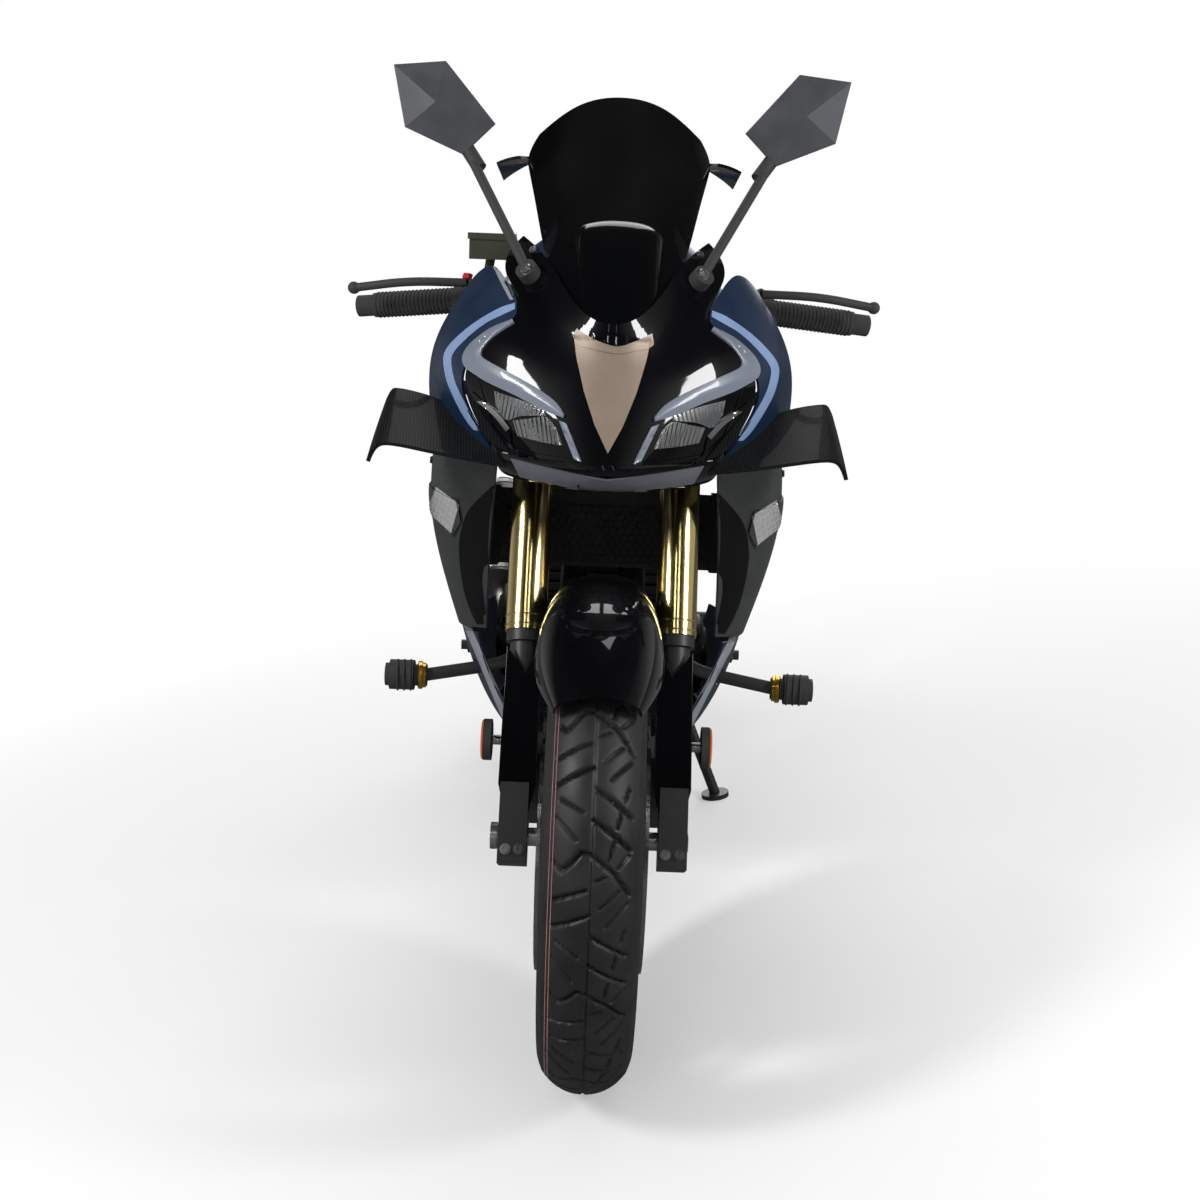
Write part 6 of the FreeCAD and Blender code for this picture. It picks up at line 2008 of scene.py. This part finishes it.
@dataclass(frozen=True)
class FillerCap:
    """The filler cap on the tank's crown, with its bolts."""

    behind: float = 500.0
    above: float = 1300.0
    profile: tuple[Pair, ...] = (
        (44, -3), (44, 3), (41, 5), (33, 5.4), (31, 3.6), (29, 3.6), (27, 6.4), (8, 7),
    )
    bolts: int = 6
    bolt_ring: float = 37.0
    bolt_rise: float = 4.8
    bolt_radius: float = 2.8

    def build(self) -> None:
        """Makes the cap and its bolts."""
        spot, facing = skin_of("fuel_tank").cast(Vector((0, self.behind, self.above)), Vector((0, 0, -1)))
        cap = Shape().lathe(self.profile, spot, facing, 44)
        cap.make("filler_cap", Body.CHASSIS, "black_casting", CASTING, angle=30)
        bolts = Bolts("filler_bolts", Body.CHASSIS)
        across = facing.cross(Vector((0, 1, 0))).normalized()
        ahead = facing.cross(across)
        for i in range(self.bolts):
            turn = 2 * math.pi * i / self.bolts
            out = across * math.cos(turn) + ahead * math.sin(turn)
            bolts.add((spot + facing * self.bolt_rise + out * self.bolt_ring, facing), self.bolt_radius)
        bolts.build()


@dataclass(frozen=True)
class PanelScrews:
    """Screws along the fairing's edges on both flanks."""

    spots: tuple[tuple[str, float, float], ...] = (
        ("side_cowl", 250, 900), ("side_cowl", 390, 852), ("mid_cowl", 300, 700), ("mid_cowl", 470, 690),
        ("mid_cowl", 500, 560), ("belly_cowl", 470, 400), ("belly_cowl", 640, 380), ("belly_cowl", 760, 360),
    )
    radius: float = 4.6

    def build(self) -> None:
        """Sets the screws."""
        bolts = Bolts("panel_screws", Body.CHASSIS, "black_casting", CASTING)
        for side in Side:
            for panel, y, z in self.spots:
                bolts.add(skin_of(f"{panel}_{side.name.lower()}").side(y, z, side), self.radius)
        bolts.build()


def split(node: str, finish: Finish, chosen: Callable[[Vector, Vector], bool]) -> None:
    """Gives some faces of a node another finish.

    Args:
        node: the node.
        finish: the finish of the chosen faces.
        chosen: tells by a face's middle and its outward direction, in the upright bike, whether it is chosen.
    """
    shown = frame["nodes"][node]
    shown.data.materials.append(finish.material())
    turn = UPRIGHT.to_3x3().normalized()
    for polygon in shown.data.polygons:
        if chosen(UPRIGHT @ polygon.center, turn @ polygon.normal):
            polygon.material_index = len(shown.data.materials) - 1


MIRROR_STEM_TOP = 1096
MIRROR_HEAD_LOW = 1100
FACES_ALONG = 0.6


def dress_nodes() -> None:
    """Gives each node of the frame its finish, and the mirrors and the reservoir their second ones."""
    for name, finish in NODE_FINISH.items():
        shown = frame["nodes"][name]
        shown.data.materials.clear()
        shown.data.materials.append(finish.material())
        LOG.info("dressed %s with %s", name, finish.name)
    split("mirrors", TRIM, lambda spot, out: spot.z < MIRROR_STEM_TOP)
    split("mirrors", GLASS, lambda spot, out: spot.z > MIRROR_HEAD_LOW and out.y > FACES_ALONG)
    split("brake_reservoir", TRIM, lambda spot, out: abs(out.z) > FACES_ALONG)


@dataclass(frozen=True)
class Lamp:
    """A soft lamp, in metres in the upright bike's frame, aimed at a point."""

    name: str
    spot: Point
    aim: Point
    width: float
    height: float
    watts: float

    def build(self) -> None:
        """Hangs the lamp."""
        data = bpy.data.lights.new(self.name, "AREA")
        data.shape = "RECTANGLE"
        data.size = self.width
        data.size_y = self.height
        data.energy = self.watts
        lamp = put(self.name, data)
        spot = PLACE @ (Vector(self.spot) * 1000)
        aim = PLACE @ (Vector(self.aim) * 1000)
        turn = (aim - spot).to_track_quat("-Z", "Y").to_matrix().to_4x4()
        lamp.matrix_world = Matrix.Translation(spot) @ turn


@dataclass(frozen=True)
class Floor:
    """A pale floor that keeps the bike's shadow and fades to white, and that mirrors see darker."""

    half: float = 12.0
    colour: Colour = (0.90, 0.90, 0.90)
    speckle_tone: float = 0.985
    fade: tuple[float, float] = (0.7, 2.1)
    fade_level: float = 0.25
    mirror_share: float = 0.86
    mirror_colour: Colour = (0.03, 0.03, 0.03)

    def emission(self, nodes: Nodes, colour: Colour) -> bpy.types.Node:
        """Adds a plain emission.

        Args:
            nodes: the material's nodes.
            colour: its colour.

        Returns:
            Its node.
        """
        made = nodes.add("ShaderNodeEmission")
        made.inputs["Color"].default_value = (*colour, 1)
        return made

    def blend(self, nodes: Nodes, share: object, low: bpy.types.Node, high: bpy.types.Node) -> bpy.types.Node:
        """Mixes two shaders.

        Args:
            nodes: the material's nodes.
            share: how much of the second shows.
            low: the first shader.
            high: the second shader.

        Returns:
            The mixing node.
        """
        made = nodes.add("ShaderNodeMixShader")
        for socket, source in zip(made.inputs, (share, low.outputs[0], high.outputs[0])):
            nodes.link(source, socket)
        return made

    def material(self) -> bpy.types.Material:
        """Builds the floor's material.

        Returns:
            The material.
        """
        made = bpy.data.materials.new("pale_floor")
        made.use_nodes = True
        nodes = Nodes(made.node_tree)
        shader = made.node_tree.nodes["Principled BSDF"]
        shader.inputs["Roughness"].default_value = 0.9
        shader.inputs["Specular IOR Level"].default_value = 0.0
        speckle = nodes.span(nodes.noise(object_place(nodes), 3.0), 0.3, 0.7)
        darker = tuple(c * self.speckle_tone for c in self.colour)
        nodes.link(nodes.mix(speckle, darker, self.colour), shader.inputs["Base Color"])
        reach = nodes.add("ShaderNodeVectorMath", operation="LENGTH")
        nodes.link(object_place(nodes), reach.inputs[0])
        path = nodes.add("ShaderNodeLightPath")
        far = nodes.span(reach.outputs["Value"], *self.fade, self.fade_level, 1.0)
        plain = nodes.math("MULTIPLY", far, path.outputs["Is Camera Ray"])
        dim = nodes.math("MULTIPLY", path.outputs["Is Glossy Ray"], self.mirror_share)
        lit = self.blend(nodes, dim, shader, self.emission(nodes, self.mirror_colour))
        shown = self.blend(nodes, plain, lit, self.emission(nodes, (1, 1, 1)))
        nodes.link(shown.outputs[0], made.node_tree.nodes["Material Output"].inputs["Surface"])
        return made

    def build(self) -> None:
        """Lays the floor."""
        corners = [(a * self.half, b * self.half, 0) for a, b in SQUARE]
        mesh = bpy.data.meshes.new("floor")
        mesh.from_pydata(corners, [], [(0, 1, 2, 3)])
        mesh.materials.append(self.material())
        put("floor", mesh)


@dataclass(frozen=True)
class Surroundings:
    """White to the eye and through glass, a plain fill on the bike, and a graded level in mirrors.

    A grading gives a range of a direction's share upward or sideways, and the level at each of its ends.
    """

    fill: float = 0.36
    by_height: tuple[float, ...] = (0.04, 0.50, 1.0, 0.08)
    by_side: tuple[float, ...] = (0.35, 0.80, 0.07, 0.50)

    def build(self) -> None:
        """Sets up the world."""
        world = bpy.data.worlds.new("studio")
        bpy.context.scene.world = world
        world.use_nodes = True
        nodes = Nodes(world.node_tree)
        path = nodes.add("ShaderNodeLightPath")
        seen = nodes.math("MAXIMUM", path.outputs["Is Camera Ray"], path.outputs["Is Transmission Ray"])
        facing = nodes.add("ShaderNodeSeparateXYZ")
        nodes.link(nodes.add("ShaderNodeTexCoord").outputs["Generated"], facing.inputs[0])
        low = nodes.span(nodes.math("ABSOLUTE", facing.outputs[2]), *self.by_height)
        beside = nodes.span(nodes.math("ABSOLUTE", facing.outputs[0]), *self.by_side)
        level = nodes.math("MULTIPLY", low, beside)
        fill = nodes.math("SUBTRACT", 1.0, path.outputs["Is Glossy Ray"])
        filled = nodes.math("MULTIPLY", fill, self.fill)
        dim = nodes.math("MULTIPLY_ADD", path.outputs["Is Glossy Ray"], level, filled)
        back = world.node_tree.nodes["Background"]
        back.inputs["Color"].default_value = (1, 1, 1, 1)
        nodes.link(nodes.math("MAXIMUM", seen, dim), back.inputs["Strength"])


@dataclass(frozen=True)
class Studio:
    """Floor, surroundings and soft lamps."""

    floor: Floor = Floor()
    surroundings: Surroundings = Surroundings()
    lamps: tuple[Lamp, ...] = (
        Lamp("box_left", (2.1, -1.1, 1.9), (0, 0.3, 0.7), 0.5, 0.8, 38),
        Lamp("box_right", (-2.1, -1.1, 1.9), (0, 0.3, 0.7), 0.5, 0.8, 44),
        Lamp("box_top", (0, 1.9, 2.7), (0, 0.9, 0.5), 1.6, 1.6, 26),
        Lamp("strip_left", (0.50, -2.4, 2.5), (0, 0.1, 0.9), 0.14, 0.30, 1.6),
        Lamp("strip_right", (-0.50, -2.4, 2.5), (0, 0.1, 0.9), 0.14, 0.30, 1.6),
        Lamp("front_tall", (-0.55, -3.0, 1.0), (0, 0.1, 0.7), 0.08, 1.6, 1.3),
        Lamp("front_tall_left", (0.75, -3.0, 1.0), (0, 0.1, 0.7), 0.08, 1.6, 1.0),
        Lamp("box_back", (0.6, 3.6, 1.8), (0, 1.0, 0.6), 1.6, 1.6, 24),
    )

    def build(self) -> None:
        """Sets up the whole studio."""
        bpy.context.scene.view_settings.view_transform = "Standard"
        self.floor.build()
        self.surroundings.build()
        for lamp in self.lamps:
            lamp.build()


TYRE_LINES = (-50.0, -44.0)
FRONT_TYRE = TreadedTyre(
    "front_tyre", Body.FRONT, STANCE.front_hub, radius=STANCE.front_radius, crown=58.0, half=54.0,
    rim_half=38.0, pitches=12, steps=840)
REAR_TYRE = TreadedTyre(
    "rear_tyre", Body.REAR, STANCE.rear_hub, radius=314.0, crown=74.0, half=70.0,
    rim_half=50.0, pitches=13, steps=832)
FRONT_DISCS = Discs(
    "front_discs", Body.FRONT, STANCE.front_hub, planes=(60.0, -60.0),
    rings=((104, 30), (116, 30), (128, 30), (141, 30)))
REAR_DISC = Discs(
    "rear_disc", Body.REAR, STANCE.rear_hub, planes=(-84.0,),
    rings=((78, 24), (90, 24), (101, 24)))
SEATS = (
    Cushion("rider_seat", ((70, 770), (98, 850), (108, 960), (80, 1030))),
    Cushion("pillion_seat", ((60, 1085), (80, 1160), (62, 1290))),
)


def main() -> None:
    """Builds the studio, dresses the frame and adds every piece in order."""
    logging.basicConfig(level=logging.INFO, format="%(message)s")
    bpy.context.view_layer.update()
    Studio().build()
    PHOTO.build()
    dress_nodes()
    FRONT_TYRE.build()
    for across in TYRE_LINES:
        FRONT_TYRE.stripe(across, PINK)
    trim = (Nose(), Cockpit(), Radiator(), Engine(), ChainPins(), MirrorBolts(), ForkTrim(), Sliders(),
            LowerBolts(), SilencerBands(), FillerCap(), PanelScrews())
    for group in (REAR_TYRE, FRONT_DISCS, REAR_DISC, *trim, *SEATS):
        group.build()


if __name__ == "__main__":
    main()
